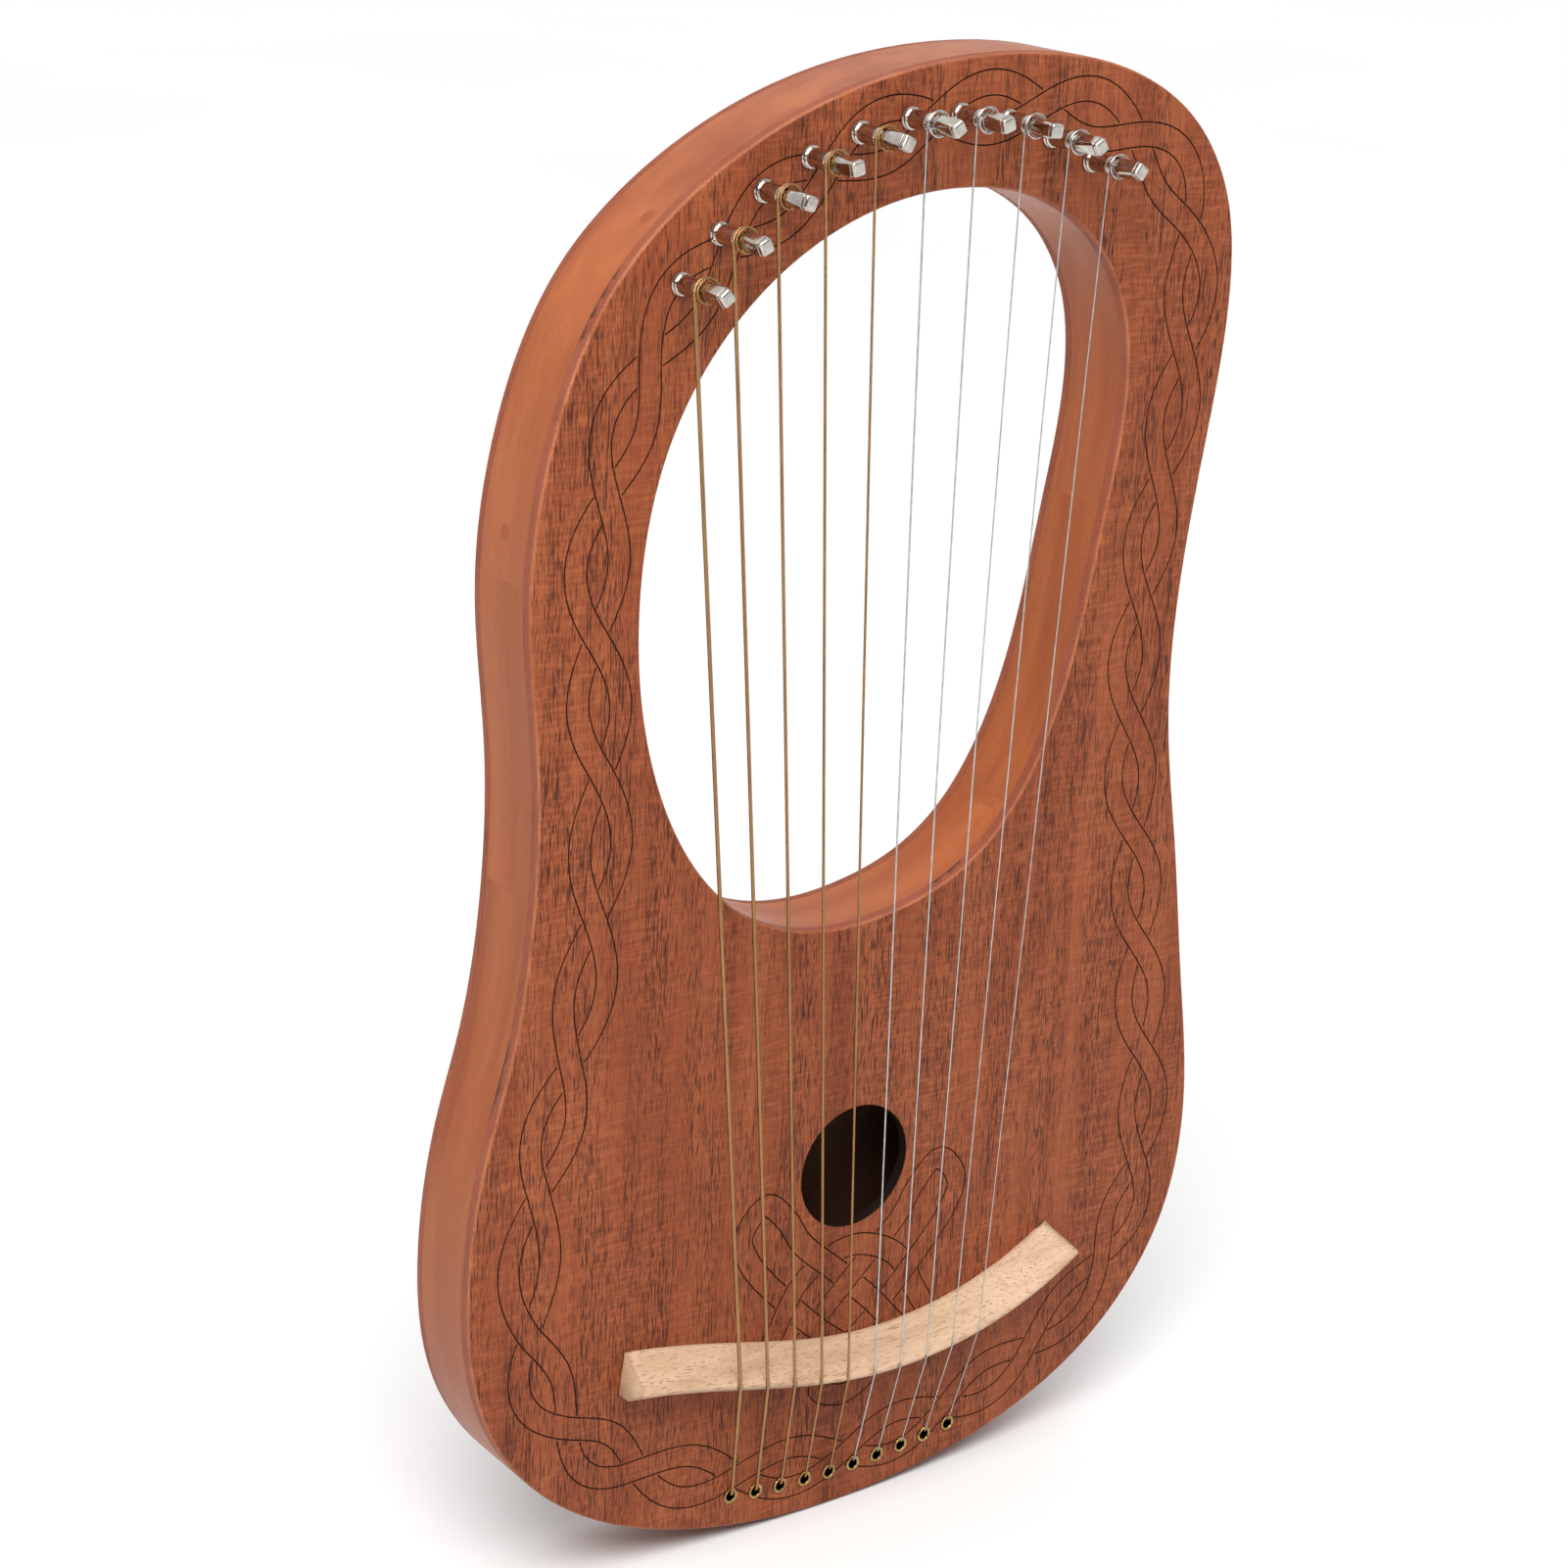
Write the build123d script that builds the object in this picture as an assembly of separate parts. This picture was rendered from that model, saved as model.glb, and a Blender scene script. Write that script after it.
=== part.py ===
from build123d import *

import os
from math import asin, cos, hypot, pi, radians, sin

# Ten-string lyre harp: a hollow mahogany frame with a hand opening, a curved
# bridge glued low on the face, and ten tuning pins around the arch.
#
# The design is drawn in millimetres with the face of the soundboard at Y = 0,
# the back at Y = BODY_DEPTH, X to the right seen from the front, and Z = 0 at
# the lowest point of the body. Every solid is moved once, when it is written,
# to the origin on the back face, straight behind the sound hole.

# ------------------------------------------------------------ overall sizes
BODY_WIDTH = 248.0
BODY_HEIGHT = 410.0
BODY_DEPTH = 27.0
SOUNDBOARD_THICKNESS = 3.5
BACK_THICKNESS = 3.0
EDGE_ROUND = 0.9

# ---------------------------------------------------------------- the frame
LEFT_ARM_REACH = 47.0          # body's left edge to the hand opening
RIGHT_ARM_REACH = 45.0         # hand opening to the body's right edge
ARCH_REACH = 33.7              # hand opening to the top of the body
SOUNDBOX_HEIGHT = 179.7        # bottom of the body to the hand opening
SIDE_WALL = 9.0
CROSSBAR_THICKNESS = 14.0
TAIL_BLOCK_HEIGHT = 27.0
ARM_FOOT_RISE = 24.3           # bottom of the hand opening to the arms' lower joint
ARM_TOP_SHARE = 0.54           # place of the arms' upper joint along the opening's height
CAVITY_TOP_RISE = 10.3         # bottom of the hand opening to the end of the cavity
CROSSBAR_HALF_LENGTH = 47.0
SOUND_HOLE_Z = 106.0
SOUND_HOLE_RADIUS = 18.3

# ------------------------------------------------------ braces and fixings
BRACE_WIDTH = 7.0
BRACE_HEIGHT = 8.5
SOUNDBOARD_BRACE_Z = (78.0, 134.0)
BACK_BRACE_Z = 150.0
BRACE_END_GAP = 0.5
DOWEL_RADIUS = 4.0
DOWEL_LENGTH = 18.0
DOWEL_SETBACK = 16.0           # outer side of an arm to its dowel
PLUG_RADIUS = 2.0
PLUG_LENGTH = 10.0
PLUG_DOWEL_GAP = 1.0           # end of an arm's upper dowel to the plug above it
UPPER_PLUG_Y = 8.0

# --------------------------------------------------------- pins and strings
STRING_COUNT = 10
STRING_DIAMETERS = (1.1, 1.0, 0.9, 0.8, 0.7, 0.5, 0.45, 0.4, 0.36, 0.32)
PIN_RADIUS = 2.5
PIN_RUNNING_GAP = 0.05
PIN_STAND = 21.0               # face to the top of a pin's head
PIN_BURY = 18.0                # face to the buried end of a pin
PIN_BORE_SPARE = 1.0
PIN_COLLAR_STEP = 0.5          # collar's radius beyond the shaft's
PIN_COLLAR_HEIGHT = 2.0
PIN_COLLAR_GAP = 0.3
PIN_SHOULDER = 0.3
PIN_HEAD_RISE = 1.1            # string to the start of the square
PIN_FLAT_CUT = 0.15            # depth of a flat where the square starts
PIN_FLAT_TIP_CUT = 0.55        # depth of a flat at the tip
PIN_DOME_DROP = 0.8
PIN_HOLE_RADIUS = 0.75
PIN_TOP_REACH = 19.3           # top of the hand opening to the arc of pins
PIN_SIDE_REACH = 20.6          # side of the hand opening to the same arc
PIN_ROW_SHIFT = 7.4            # opening's centre to the arc's centre, to the right
PIN_ROW_RISE = 19.0            # opening's centre to the arc's centre, upwards
PIN_ROW_START = 141.3          # degrees, the first pin on the left
PIN_PITCH = 15.8
WOUND_TURNS = 2
PLAIN_TURNS = 3
WOUND_COUNT = 5
TURN_OVERLAP = 0.94            # pitch of a coil's turns over its wire
STRING_SIDE_GAP = 0.3          # taut string to the pin and its coil
STRING_FIT = 0.05              # taut string to the seats it lies in

# ------------------------------------------------------- the tail's fittings
EYELET_PITCH = 8.6
EYELET_ARC_RADIUS = 262.0
EYELET_BOTTOM_INSET = 10.3
EYELET_CENTRE_X = 0.9
EYELET_BORE_RADIUS = 1.4
EYELET_WALL = 0.4
EYELET_FLANGE_STEP = 0.55      # flange's radius beyond the barrel's
EYELET_FLANGE_HEIGHT = 0.45
EYELET_LIP_ROUND = 0.55
EYELET_LENGTH = 5.5
TAIL_BORE_SPARE = 0.2          # tail block's string bores beyond the eyelets' bores
FERRULE_WALL = 0.8
FERRULE_FLANGE_STEP = 0.5      # flange's radius beyond the barrel's
FERRULE_FLANGE_HEIGHT = 0.8
FERRULE_LENGTH = 7.0
FERRULE_SEAT = 1.8
FERRULE_STRING_GAP = 0.35      # thickest string to the ferrules' bores
BALL_RADIUS = 1.9
BALL_LENGTH = 3.2
BALL_SIDE_GAP = 0.1

# ----------------------------------------------------------------- the bridge
BRIDGE_HEIGHT = 11.3
BRIDGE_BASE = 12.4
BRIDGE_TOP_EDGE = 1.0
BRIDGE_TOE_ROUND = 0.2
BRIDGE_RIDGE_SETBACK = 7.8
BRIDGE_RIDGE_ROUND = 1.2
BRIDGE_BELLY_HEIGHT = 4.5
BRIDGE_BELLY_ROUND = 3.0
RIDGE_STRING_PITCH = 9.3
RIDGE_STRING_CENTRE_X = -2.0
# Upper edge of the bridge on the face, left to right.
BRIDGE_EDGE = ((-75.0, 69.0), (-38.0, 61.6), (0.0, 53.9), (38.0, 56.6), (71.5, 71.0))

# ------------------------------------------------------------------- outlines
# Right side of the lower body from the bottom, as shares of the half width
# and of the height. The left side mirrors it.
LOWER_OUTLINE = ((0.503, 0.0244), (0.784, 0.0732), (0.955, 0.1463), (1.0, 0.244), (0.954, 0.3415))
# The upper body, which leans to the right, clockwise from the left side.
LEFT_OUTLINE = ((-0.909, 0.390), (-0.858, 0.488), (-0.855, 0.585), (-0.881, 0.683),
                (-0.841, 0.7805), (-0.696, 0.878), (-0.528, 0.927), (-0.221, 0.976))
RIGHT_OUTLINE = ((0.245, 1.0), (0.659, 0.976), (0.780, 0.951), (0.888, 0.902), (0.922, 0.829),
                 (0.887, 0.7317), (0.846, 0.634), (0.847, 0.5366), (0.902, 0.439))
# The hand opening clockwise from its lowest point, as shares of its half
# width and half height from its centre.
OPENING_OUTLINE = ((0.044, -1.0), (-0.696, -0.7935), (-0.947, -0.3866), (-0.999, -0.03),
                   (-0.892, 0.427), (-0.627, 0.732), (-0.224, 0.936), (0.163, 1.0),
                   (0.613, 0.936), (0.803, 0.834), (0.962, 0.631), (1.0, 0.427),
                   (0.932, 0.02), (0.827, -0.3866), (0.576, -0.7935))

# --------------------------------------------------------------- worked sizes
HALF_WIDTH = BODY_WIDTH / 2
CORE_BACK_Y = BODY_DEPTH - BACK_THICKNESS
OPENING_HALF_WIDTH = (BODY_WIDTH - LEFT_ARM_REACH - RIGHT_ARM_REACH) / 2
OPENING_HALF_HEIGHT = (BODY_HEIGHT - ARCH_REACH - SOUNDBOX_HEIGHT) / 2
OPENING_CENTRE = ((LEFT_ARM_REACH - RIGHT_ARM_REACH) / 2, SOUNDBOX_HEIGHT + OPENING_HALF_HEIGHT)
ARM_FOOT_Z = SOUNDBOX_HEIGHT + ARM_FOOT_RISE
ARM_TOP_Z = SOUNDBOX_HEIGHT + ARM_TOP_SHARE * 2 * OPENING_HALF_HEIGHT
CAVITY_TOP_Z = SOUNDBOX_HEIGHT + CAVITY_TOP_RISE
LOWER_PLUG_Z = ARM_TOP_Z + DOWEL_LENGTH / 2 + PLUG_DOWEL_GAP + PLUG_RADIUS
PIN_COLLAR_RADIUS = PIN_RADIUS + PIN_COLLAR_STEP
PIN_HEAD_START = BRIDGE_HEIGHT + PIN_HEAD_RISE
PIN_HEAD_FLATS = 2 * (PIN_RADIUS - PIN_FLAT_CUT)
PIN_HEAD_TIP_FLATS = 2 * (PIN_RADIUS - PIN_FLAT_TIP_CUT)
EYELET_BARREL_RADIUS = EYELET_BORE_RADIUS + EYELET_WALL
EYELET_FLANGE_RADIUS = EYELET_BARREL_RADIUS + EYELET_FLANGE_STEP
TAIL_BORE_RADIUS = EYELET_BORE_RADIUS + TAIL_BORE_SPARE
BALL_SEAT_RADIUS = BALL_RADIUS + BALL_SIDE_GAP
FERRULE_RADIUS = BALL_SEAT_RADIUS + FERRULE_WALL
FERRULE_FLANGE_RADIUS = FERRULE_RADIUS + FERRULE_FLANGE_STEP
FERRULE_STRING_RADIUS = max(STRING_DIAMETERS) / 2 + FERRULE_STRING_GAP
FAR = BODY_WIDTH + BODY_HEIGHT
CUT_SPARE = 1.0                 # how far a cut starts in front of the face
PARALLEL_POINTS = 48            # points of a curve drawn beside another
SOLVE_STEPS = 40                # halvings or repeats when a place is worked out
OUTWARD = Vector(0, -1, 0)
TO_ORIGIN = Pos(0, -BODY_DEPTH, -SOUND_HOLE_Z)


def on_face(x, z):
    """The point of the soundboard's face at x and z."""
    return Vector(x, 0, z)


def write(name, *solids):
    """Move a node's solids to the shared origin and write them as one STEP file."""
    placed = [TO_ORIGIN * solid for solid in solids]
    shape = placed[0] if len(placed) == 1 else Compound(children=placed)
    export_step(shape, f"parts/{name}.step")


def slab(face, front_y, back_y):
    """A flat piece of the given outline between two depths."""
    return Pos(0, front_y, 0) * extrude(face, amount=back_y - front_y, dir=(0, 1, 0))


def block(x_low, x_high, z_low, z_high):
    """A block through the whole depth, used to part the frame at its joints."""
    width = x_high - x_low
    height = z_high - z_low
    middle = Pos((x_low + x_high) / 2, BODY_DEPTH / 2, (z_low + z_high) / 2)
    return middle * Box(width, FAR, height)


def rod(x, z, radius, front_y, back_y):
    """A round bar that runs straight back from front_y to back_y."""
    plane = Plane(origin=(x, front_y, z), z_dir=(0, 1, 0))
    return extrude(plane * Circle(radius), amount=back_y - front_y)


def turned(x, z, profile):
    """A solid turned about the line through x and z from (radius, depth) corners."""
    corners = [(x + radius, depth, z) for radius, depth in profile]
    section = make_face(Polyline(*corners, close=True))
    return revolve(section, axis=Axis((x, 0, z), (0, 1, 0)))


def corner_about(centre, radius, before, after):
    """The corner of the run before-corner-after whose fillet lies on a given centre."""
    corner = centre
    for _ in range(SOLVE_STEPS):
        to_before = (before - corner).normalized()
        to_after = (after - corner).normalized()
        inward = (to_before + to_after).normalized()
        half_angle = radians(to_before.get_angle(to_after)) / 2
        corner = centre - inward * (radius / sin(half_angle))
    return corner


# ---------------------------------------------------------------- flat shapes
def body_outline():
    """The closed outer edge of the body on its face."""
    lower_right = [on_face(x * HALF_WIDTH, z * BODY_HEIGHT) for x, z in LOWER_OUTLINE]
    lower_left = [on_face(-x * HALF_WIDTH, z * BODY_HEIGHT) for x, z in LOWER_OUTLINE]
    left = [on_face(x * HALF_WIDTH, z * BODY_HEIGHT) for x, z in LEFT_OUTLINE]
    right = [on_face(x * HALF_WIDTH, z * BODY_HEIGHT) for x, z in RIGHT_OUTLINE]
    ring = [on_face(0, 0)] + lower_left + left + right + lower_right[::-1]
    return Spline(*ring, periodic=True)


def opening_outline():
    """The closed edge of the hand opening on the face."""
    centre_x, centre_z = OPENING_CENTRE
    ring = [
        on_face(centre_x + x * OPENING_HALF_WIDTH, centre_z + z * OPENING_HALF_HEIGHT)
        for x, z in OPENING_OUTLINE
    ]
    return Spline(*ring, periodic=True)


def grown(edge, amount):
    """The face inside an edge moved outwards by amount, or inwards if it is negative."""
    ring = []
    for step in range(PARALLEL_POINTS):
        share = step / PARALLEL_POINTS
        outward = OUTWARD.cross(edge.tangent_at(share)).normalized()
        ring.append(edge.position_at(share) + outward * amount)
    return make_face(Spline(*ring, periodic=True))


BODY_EDGE = body_outline()
OPENING_EDGE = opening_outline()
BODY_FACE = make_face(BODY_EDGE)
OPENING_FACE = make_face(OPENING_EDGE)
BRIDGE_LINE = Spline(*(on_face(x, z) for x, z in BRIDGE_EDGE))


def pin_places():
    """Pin centres at a constant pitch along the arc above the hand opening."""
    centre_x = OPENING_CENTRE[0] + PIN_ROW_SHIFT
    centre_z = OPENING_CENTRE[1] + PIN_ROW_RISE
    across = OPENING_HALF_WIDTH + PIN_SIDE_REACH
    upwards = OPENING_HALF_HEIGHT - PIN_ROW_RISE + PIN_TOP_REACH
    angle = radians(PIN_ROW_START)
    places = []
    for _ in range(STRING_COUNT):
        places.append(on_face(centre_x + across * cos(angle), centre_z + upwards * sin(angle)))
        angle -= PIN_PITCH / hypot(across * sin(angle), upwards * cos(angle))
    return places


def eyelet_places():
    """Eyelet centres along the shallow arc above the bottom edge."""
    centre_z = EYELET_BOTTOM_INSET + EYELET_ARC_RADIUS
    places = []
    for index in range(STRING_COUNT):
        along = (index - (STRING_COUNT - 1) / 2) * EYELET_PITCH
        angle = asin(along / EYELET_ARC_RADIUS)
        x = EYELET_CENTRE_X + EYELET_ARC_RADIUS * sin(angle)
        places.append(on_face(x, centre_z - EYELET_ARC_RADIUS * cos(angle)))
    return places


PINS = pin_places()
EYELETS = eyelet_places()


# -------------------------------------------------------------------- the body
def core_frame():
    """The body's middle layer before it is parted, and the hollow of its soundbox."""
    inside_walls = grown(BODY_EDGE, -SIDE_WALL)
    crossbar_edge = grown(OPENING_EDGE, CROSSBAR_THICKNESS)
    frame = slab(BODY_FACE, SOUNDBOARD_THICKNESS, CORE_BACK_Y)
    frame -= slab(OPENING_FACE, 0, BODY_DEPTH)
    cavity = slab(inside_walls, 0, BODY_DEPTH) - slab(crossbar_edge, 0, BODY_DEPTH)
    cavity &= block(-FAR, FAR, TAIL_BLOCK_HEIGHT, CAVITY_TOP_Z)
    return frame - cavity, cavity


def bored_tail(tail):
    """The tail block with its string bores, eyelet seats and ferrule seats."""
    for place in EYELETS:
        tail -= rod(place.X, place.Z, TAIL_BORE_RADIUS, 0, BODY_DEPTH)
        tail -= rod(place.X, place.Z, EYELET_BARREL_RADIUS, 0, EYELET_LENGTH)
        tail -= rod(place.X, place.Z, FERRULE_RADIUS, BODY_DEPTH - FERRULE_LENGTH, BODY_DEPTH)
    return tail


def pin_bores(piece):
    """A piece with the bore of every tuning pin taken out of it."""
    for place in PINS:
        radius = PIN_RADIUS + PIN_RUNNING_GAP
        piece -= rod(place.X, place.Z, radius, -CUT_SPARE, PIN_BURY + PIN_BORE_SPARE)
    return piece


def soundboard():
    """The front plate: hand opening, sound hole, pin holes and eyelet holes."""
    plate = slab(BODY_FACE, 0, SOUNDBOARD_THICKNESS)
    plate -= slab(OPENING_FACE, 0, SOUNDBOARD_THICKNESS)
    front_edges = [edge for edge in plate.edges() if abs(edge.bounding_box().max.Y) < EDGE_ROUND / 2]
    plate = fillet(front_edges, EDGE_ROUND)
    plate -= rod(0, SOUND_HOLE_Z, SOUND_HOLE_RADIUS, -CUT_SPARE, BODY_DEPTH)
    for place in EYELETS:
        plate -= rod(place.X, place.Z, EYELET_BARREL_RADIUS, -CUT_SPARE, EYELET_LENGTH)
    return pin_bores(plate)


def back_board():
    """The back plate with a seat for the flange of each string ferrule."""
    plate = slab(BODY_FACE, CORE_BACK_Y, BODY_DEPTH) - slab(OPENING_FACE, 0, BODY_DEPTH)
    back_edges = [
        edge for edge in plate.edges() if edge.bounding_box().min.Y > BODY_DEPTH - EDGE_ROUND / 2
    ]
    plate = fillet(back_edges, EDGE_ROUND)
    for place in EYELETS:
        plate -= rod(place.X, place.Z, FERRULE_RADIUS, 0, BODY_DEPTH)
        plate -= rod(place.X, place.Z, FERRULE_FLANGE_RADIUS, BODY_DEPTH - FERRULE_FLANGE_HEIGHT, FAR)
    return plate


def side_crossings(edge, z):
    """The left and right x where a closed outline crosses the height z."""
    line = Edge.make_line(on_face(-FAR, z), on_face(FAR, z))
    crossings = sorted(point.X for point in edge.intersect(line).vertices())
    return crossings[0], crossings[-1]


def arm_dowels():
    """Upright dowels through the joint at each end of both arms."""
    dowels = []
    middle_y = (SOUNDBOARD_THICKNESS + CORE_BACK_Y) / 2
    for z in (ARM_FOOT_Z, ARM_TOP_Z):
        left, right = side_crossings(BODY_EDGE, z)
        for x in (left + DOWEL_SETBACK, right - DOWEL_SETBACK):
            dowels.append(Pos(x, middle_y, z) * Cylinder(DOWEL_RADIUS, DOWEL_LENGTH))
    return dowels


def wall_plug(place, y, inward):
    """A round plug let into the outer wall at a place on the body's edge."""
    start = place - OUTWARD * y + inward * PLUG_LENGTH
    plug = extrude(Plane(origin=start, z_dir=-inward) * Circle(PLUG_RADIUS), amount=2 * PLUG_LENGTH)
    return plug & slab(BODY_FACE, 0, BODY_DEPTH)


def lower_plugs():
    """A plug just above each arm's upper dowel, square to the wall."""
    middle_y = (SOUNDBOARD_THICKNESS + CORE_BACK_Y) / 2
    left, right = side_crossings(BODY_EDGE, LOWER_PLUG_Z)
    plugs = []
    for x, side in ((left, -1), (right, 1)):
        place = on_face(x, LOWER_PLUG_Z)
        tangent = BODY_EDGE.tangent_at(BODY_EDGE.param_at_point(place))
        inward = tangent.cross(OUTWARD).normalized()
        plugs.append(wall_plug(place, middle_y, -inward if inward.X * side > 0 else inward))
    return plugs


def upper_plugs():
    """A plug between the first two pins and one between the last two, clear of their bores."""
    plugs = []
    for first, second in (PINS[:2], PINS[-2:]):
        middle = (first + second) / 2
        outward = OUTWARD.cross(second - first).normalized()
        line = Edge.make_line(middle, middle + outward * FAR)
        crossings = [Vector(*vertex) for vertex in BODY_EDGE.intersect(line).vertices()]
        place = min(crossings, key=lambda crossing: (crossing - middle).length)
        plugs.append(wall_plug(place, UPPER_PLUG_Y, -outward))
    return plugs


def brace(cavity, z, front_y):
    """A brace across the soundbox, a little short of the walls at both ends."""
    bar = Pos(0, front_y + BRACE_HEIGHT / 2, z) * Box(BODY_WIDTH, BRACE_HEIGHT, BRACE_WIDTH)
    reach = grown(BODY_EDGE, -SIDE_WALL - BRACE_END_GAP)
    return bar & slab(reach, 0, BODY_DEPTH) & cavity


def build_body():
    """Write every fixed wooden piece of the frame."""
    frame, cavity = core_frame()
    dowels = arm_dowels()
    plugs = lower_plugs() + upper_plugs()
    frame = pin_bores(frame)
    for piece in dowels + plugs:
        frame -= piece
    bar_end = CROSSBAR_HALF_LENGTH
    regions = {
        "pin_block": block(-FAR, FAR, ARM_TOP_Z, FAR),
        "left_arm": block(-FAR, 0, ARM_FOOT_Z, ARM_TOP_Z),
        "right_arm": block(0, FAR, ARM_FOOT_Z, ARM_TOP_Z),
        "crossbar": block(-bar_end, bar_end, TAIL_BLOCK_HEIGHT, ARM_FOOT_Z),
        "left_side": block(-FAR, -bar_end, TAIL_BLOCK_HEIGHT, ARM_FOOT_Z),
        "right_side": block(bar_end, FAR, TAIL_BLOCK_HEIGHT, ARM_FOOT_Z),
    }
    for name, region in regions.items():
        write(name, (frame & region).solid())
    write("tail_block", bored_tail((frame & block(-FAR, FAR, -FAR, TAIL_BLOCK_HEIGHT)).solid()))
    write("soundboard", soundboard())
    write("back_board", back_board())
    write("joint_dowels", *dowels)
    write("side_plugs", *plugs)
    write("soundboard_braces", *(brace(cavity, z, SOUNDBOARD_THICKNESS) for z in SOUNDBOARD_BRACE_Z))
    write("back_brace", brace(cavity, BACK_BRACE_Z, CORE_BACK_Y - BRACE_HEIGHT))


# ------------------------------------------------------------------ the bridge
def tailward(share):
    """The direction on the face from the bridge's upper edge to the tail."""
    return BRIDGE_LINE.tangent_at(share).cross(OUTWARD).normalized()


def ridge_centre(x):
    """Centre of the ridge's rounding where the ridge passes the given x."""
    low, high = 0.0, 1.0
    for _ in range(SOLVE_STEPS):
        share = (low + high) / 2
        centre = BRIDGE_LINE.position_at(share) + tailward(share) * BRIDGE_RIDGE_SETBACK
        low, high = (share, high) if centre.X < x else (low, share)
    return centre + OUTWARD * (BRIDGE_HEIGHT - BRIDGE_RIDGE_ROUND)


def bridge_section():
    """The bridge's section, across the stick and out of the face."""
    back_top = Vector(0, -BRIDGE_TOP_EDGE)
    belly = Vector(BRIDGE_BASE, -BRIDGE_BELLY_HEIGHT)
    centre = Vector(BRIDGE_RIDGE_SETBACK, BRIDGE_RIDGE_ROUND - BRIDGE_HEIGHT)
    ridge = corner_about(centre, BRIDGE_RIDGE_ROUND, back_top, belly)
    outline = FilletPolyline(
        (0, 0), back_top, ridge, belly, (BRIDGE_BASE, 0),
        radius=[BRIDGE_TOE_ROUND, BRIDGE_RIDGE_ROUND, BRIDGE_BELLY_ROUND],
    )
    return make_face([*outline.edges(), Line((BRIDGE_BASE, 0), (0, 0))])


def bridge(routes):
    """The curved stick that the strings bear on, notched for each string."""
    start = Plane(origin=BRIDGE_LINE @ 0, x_dir=tailward(0), z_dir=BRIDGE_LINE % 0)
    stick = sweep(start * bridge_section(), path=BRIDGE_LINE)
    for diameter, route in zip(STRING_DIAMETERS, routes):
        stick -= tube(route, diameter / 2 + STRING_FIT)
    return stick


# ------------------------------------------------------------ pins and strings
def tube(route, radius):
    """A round wire along a route."""
    start = Plane(origin=route @ 0, z_dir=route % 0)
    return sweep(start * Circle(radius), path=route)


def string_route(index):
    """A string's line from its ball over the eyelet's lip and the ridge to its pin."""
    radius = STRING_DIAMETERS[index] / 2
    pin, eyelet = PINS[index], EYELETS[index]
    along = (index - (STRING_COUNT - 1) / 2) * RIDGE_STRING_PITCH
    ridge = ridge_centre(RIDGE_STRING_CENTRE_X + along)
    side = PIN_RADIUS + STRING_SIDE_GAP + radius
    end = Vector(pin.X - side, -BRIDGE_HEIGHT, pin.Z)
    ball = Vector(eyelet.X, BODY_DEPTH - FERRULE_LENGTH + FERRULE_SEAT, eyelet.Z)

    lean = Vector(ridge.X - eyelet.X, 0, ridge.Z - eyelet.Z).normalized()
    lip_radius = EYELET_LIP_ROUND + radius + STRING_FIT
    lip_depth = EYELET_LIP_ROUND - EYELET_FLANGE_HEIGHT
    lip = eyelet + lean * (EYELET_BORE_RADIUS + EYELET_LIP_ROUND) - OUTWARD * lip_depth
    over_ridge = ridge + OUTWARD * BRIDGE_RIDGE_ROUND
    eyelet_corner = corner_about(lip, lip_radius, ball, over_ridge)
    ridge_corner = corner_about(ridge, BRIDGE_RIDGE_ROUND, eyelet_corner, end)
    return FilletPolyline(
        ball, eyelet_corner, ridge_corner, end, radius=[lip_radius, BRIDGE_RIDGE_ROUND]
    )


def tuning_pin(place):
    """A pin: buried shank, collar, round shaft, tapered square head, string hole."""
    collar_top = -PIN_COLLAR_GAP - PIN_COLLAR_HEIGHT
    profile = [
        (0, PIN_BURY), (PIN_RADIUS - PIN_SHOULDER, PIN_BURY),
        (PIN_RADIUS, PIN_BURY - PIN_SHOULDER),
        (PIN_RADIUS, -PIN_COLLAR_GAP), (PIN_COLLAR_RADIUS, -PIN_COLLAR_GAP),
        (PIN_COLLAR_RADIUS, collar_top + PIN_SHOULDER),
        (PIN_COLLAR_RADIUS - PIN_SHOULDER, collar_top),
        (PIN_RADIUS, collar_top), (PIN_RADIUS, -PIN_STAND + PIN_DOME_DROP),
        (PIN_RADIUS - PIN_DOME_DROP, -PIN_STAND), (0, -PIN_STAND),
    ]
    pin = turned(place.X, place.Z, profile)
    tip = Plane(origin=(place.X, -PIN_STAND, place.Z), z_dir=(0, 1, 0))
    root = Plane(origin=(place.X, -PIN_HEAD_START, place.Z), z_dir=(0, 1, 0))
    tip_square = tip * Rectangle(PIN_HEAD_TIP_FLATS, PIN_HEAD_TIP_FLATS)
    root_square = root * Rectangle(PIN_HEAD_FLATS, PIN_HEAD_FLATS)
    head = loft([tip_square, root_square])
    shaft = rod(place.X, place.Z, PIN_COLLAR_RADIUS, -PIN_HEAD_START, PIN_BURY)
    pin = pin & (head + shaft)
    hole = Plane(origin=(place.X, -BRIDGE_HEIGHT, place.Z), z_dir=(1, 0, 0))
    return pin - extrude(hole * Circle(PIN_HOLE_RADIUS), amount=PIN_RADIUS * 2, both=True)


def string_coil(index):
    """The turns of a string wound on its pin, outside the taut part of the string."""
    place = PINS[index]
    wire = STRING_DIAMETERS[index]
    turns = WOUND_TURNS if index < WOUND_COUNT else PLAIN_TURNS
    pitch = wire * TURN_OVERLAP
    first = -BRIDGE_HEIGHT - wire / 2 - STRING_SIDE_GAP - wire / 2
    radius = PIN_RADIUS + wire / 2
    plane = Plane(origin=(place.X, 0, place.Z), x_dir=(1, 0, 0), z_dir=(0, 0, 1))
    section = Sketch()
    for turn in range(turns):
        section += Pos(radius, first - turn * pitch) * Circle(wire / 2)
    depth = (turns - 1) * pitch
    section += Pos(PIN_RADIUS + wire / 4, first - depth / 2) * Rectangle(wire / 2, depth)
    return revolve(plane * section, axis=Axis((place.X, 0, place.Z), (0, 1, 0)))


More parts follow.
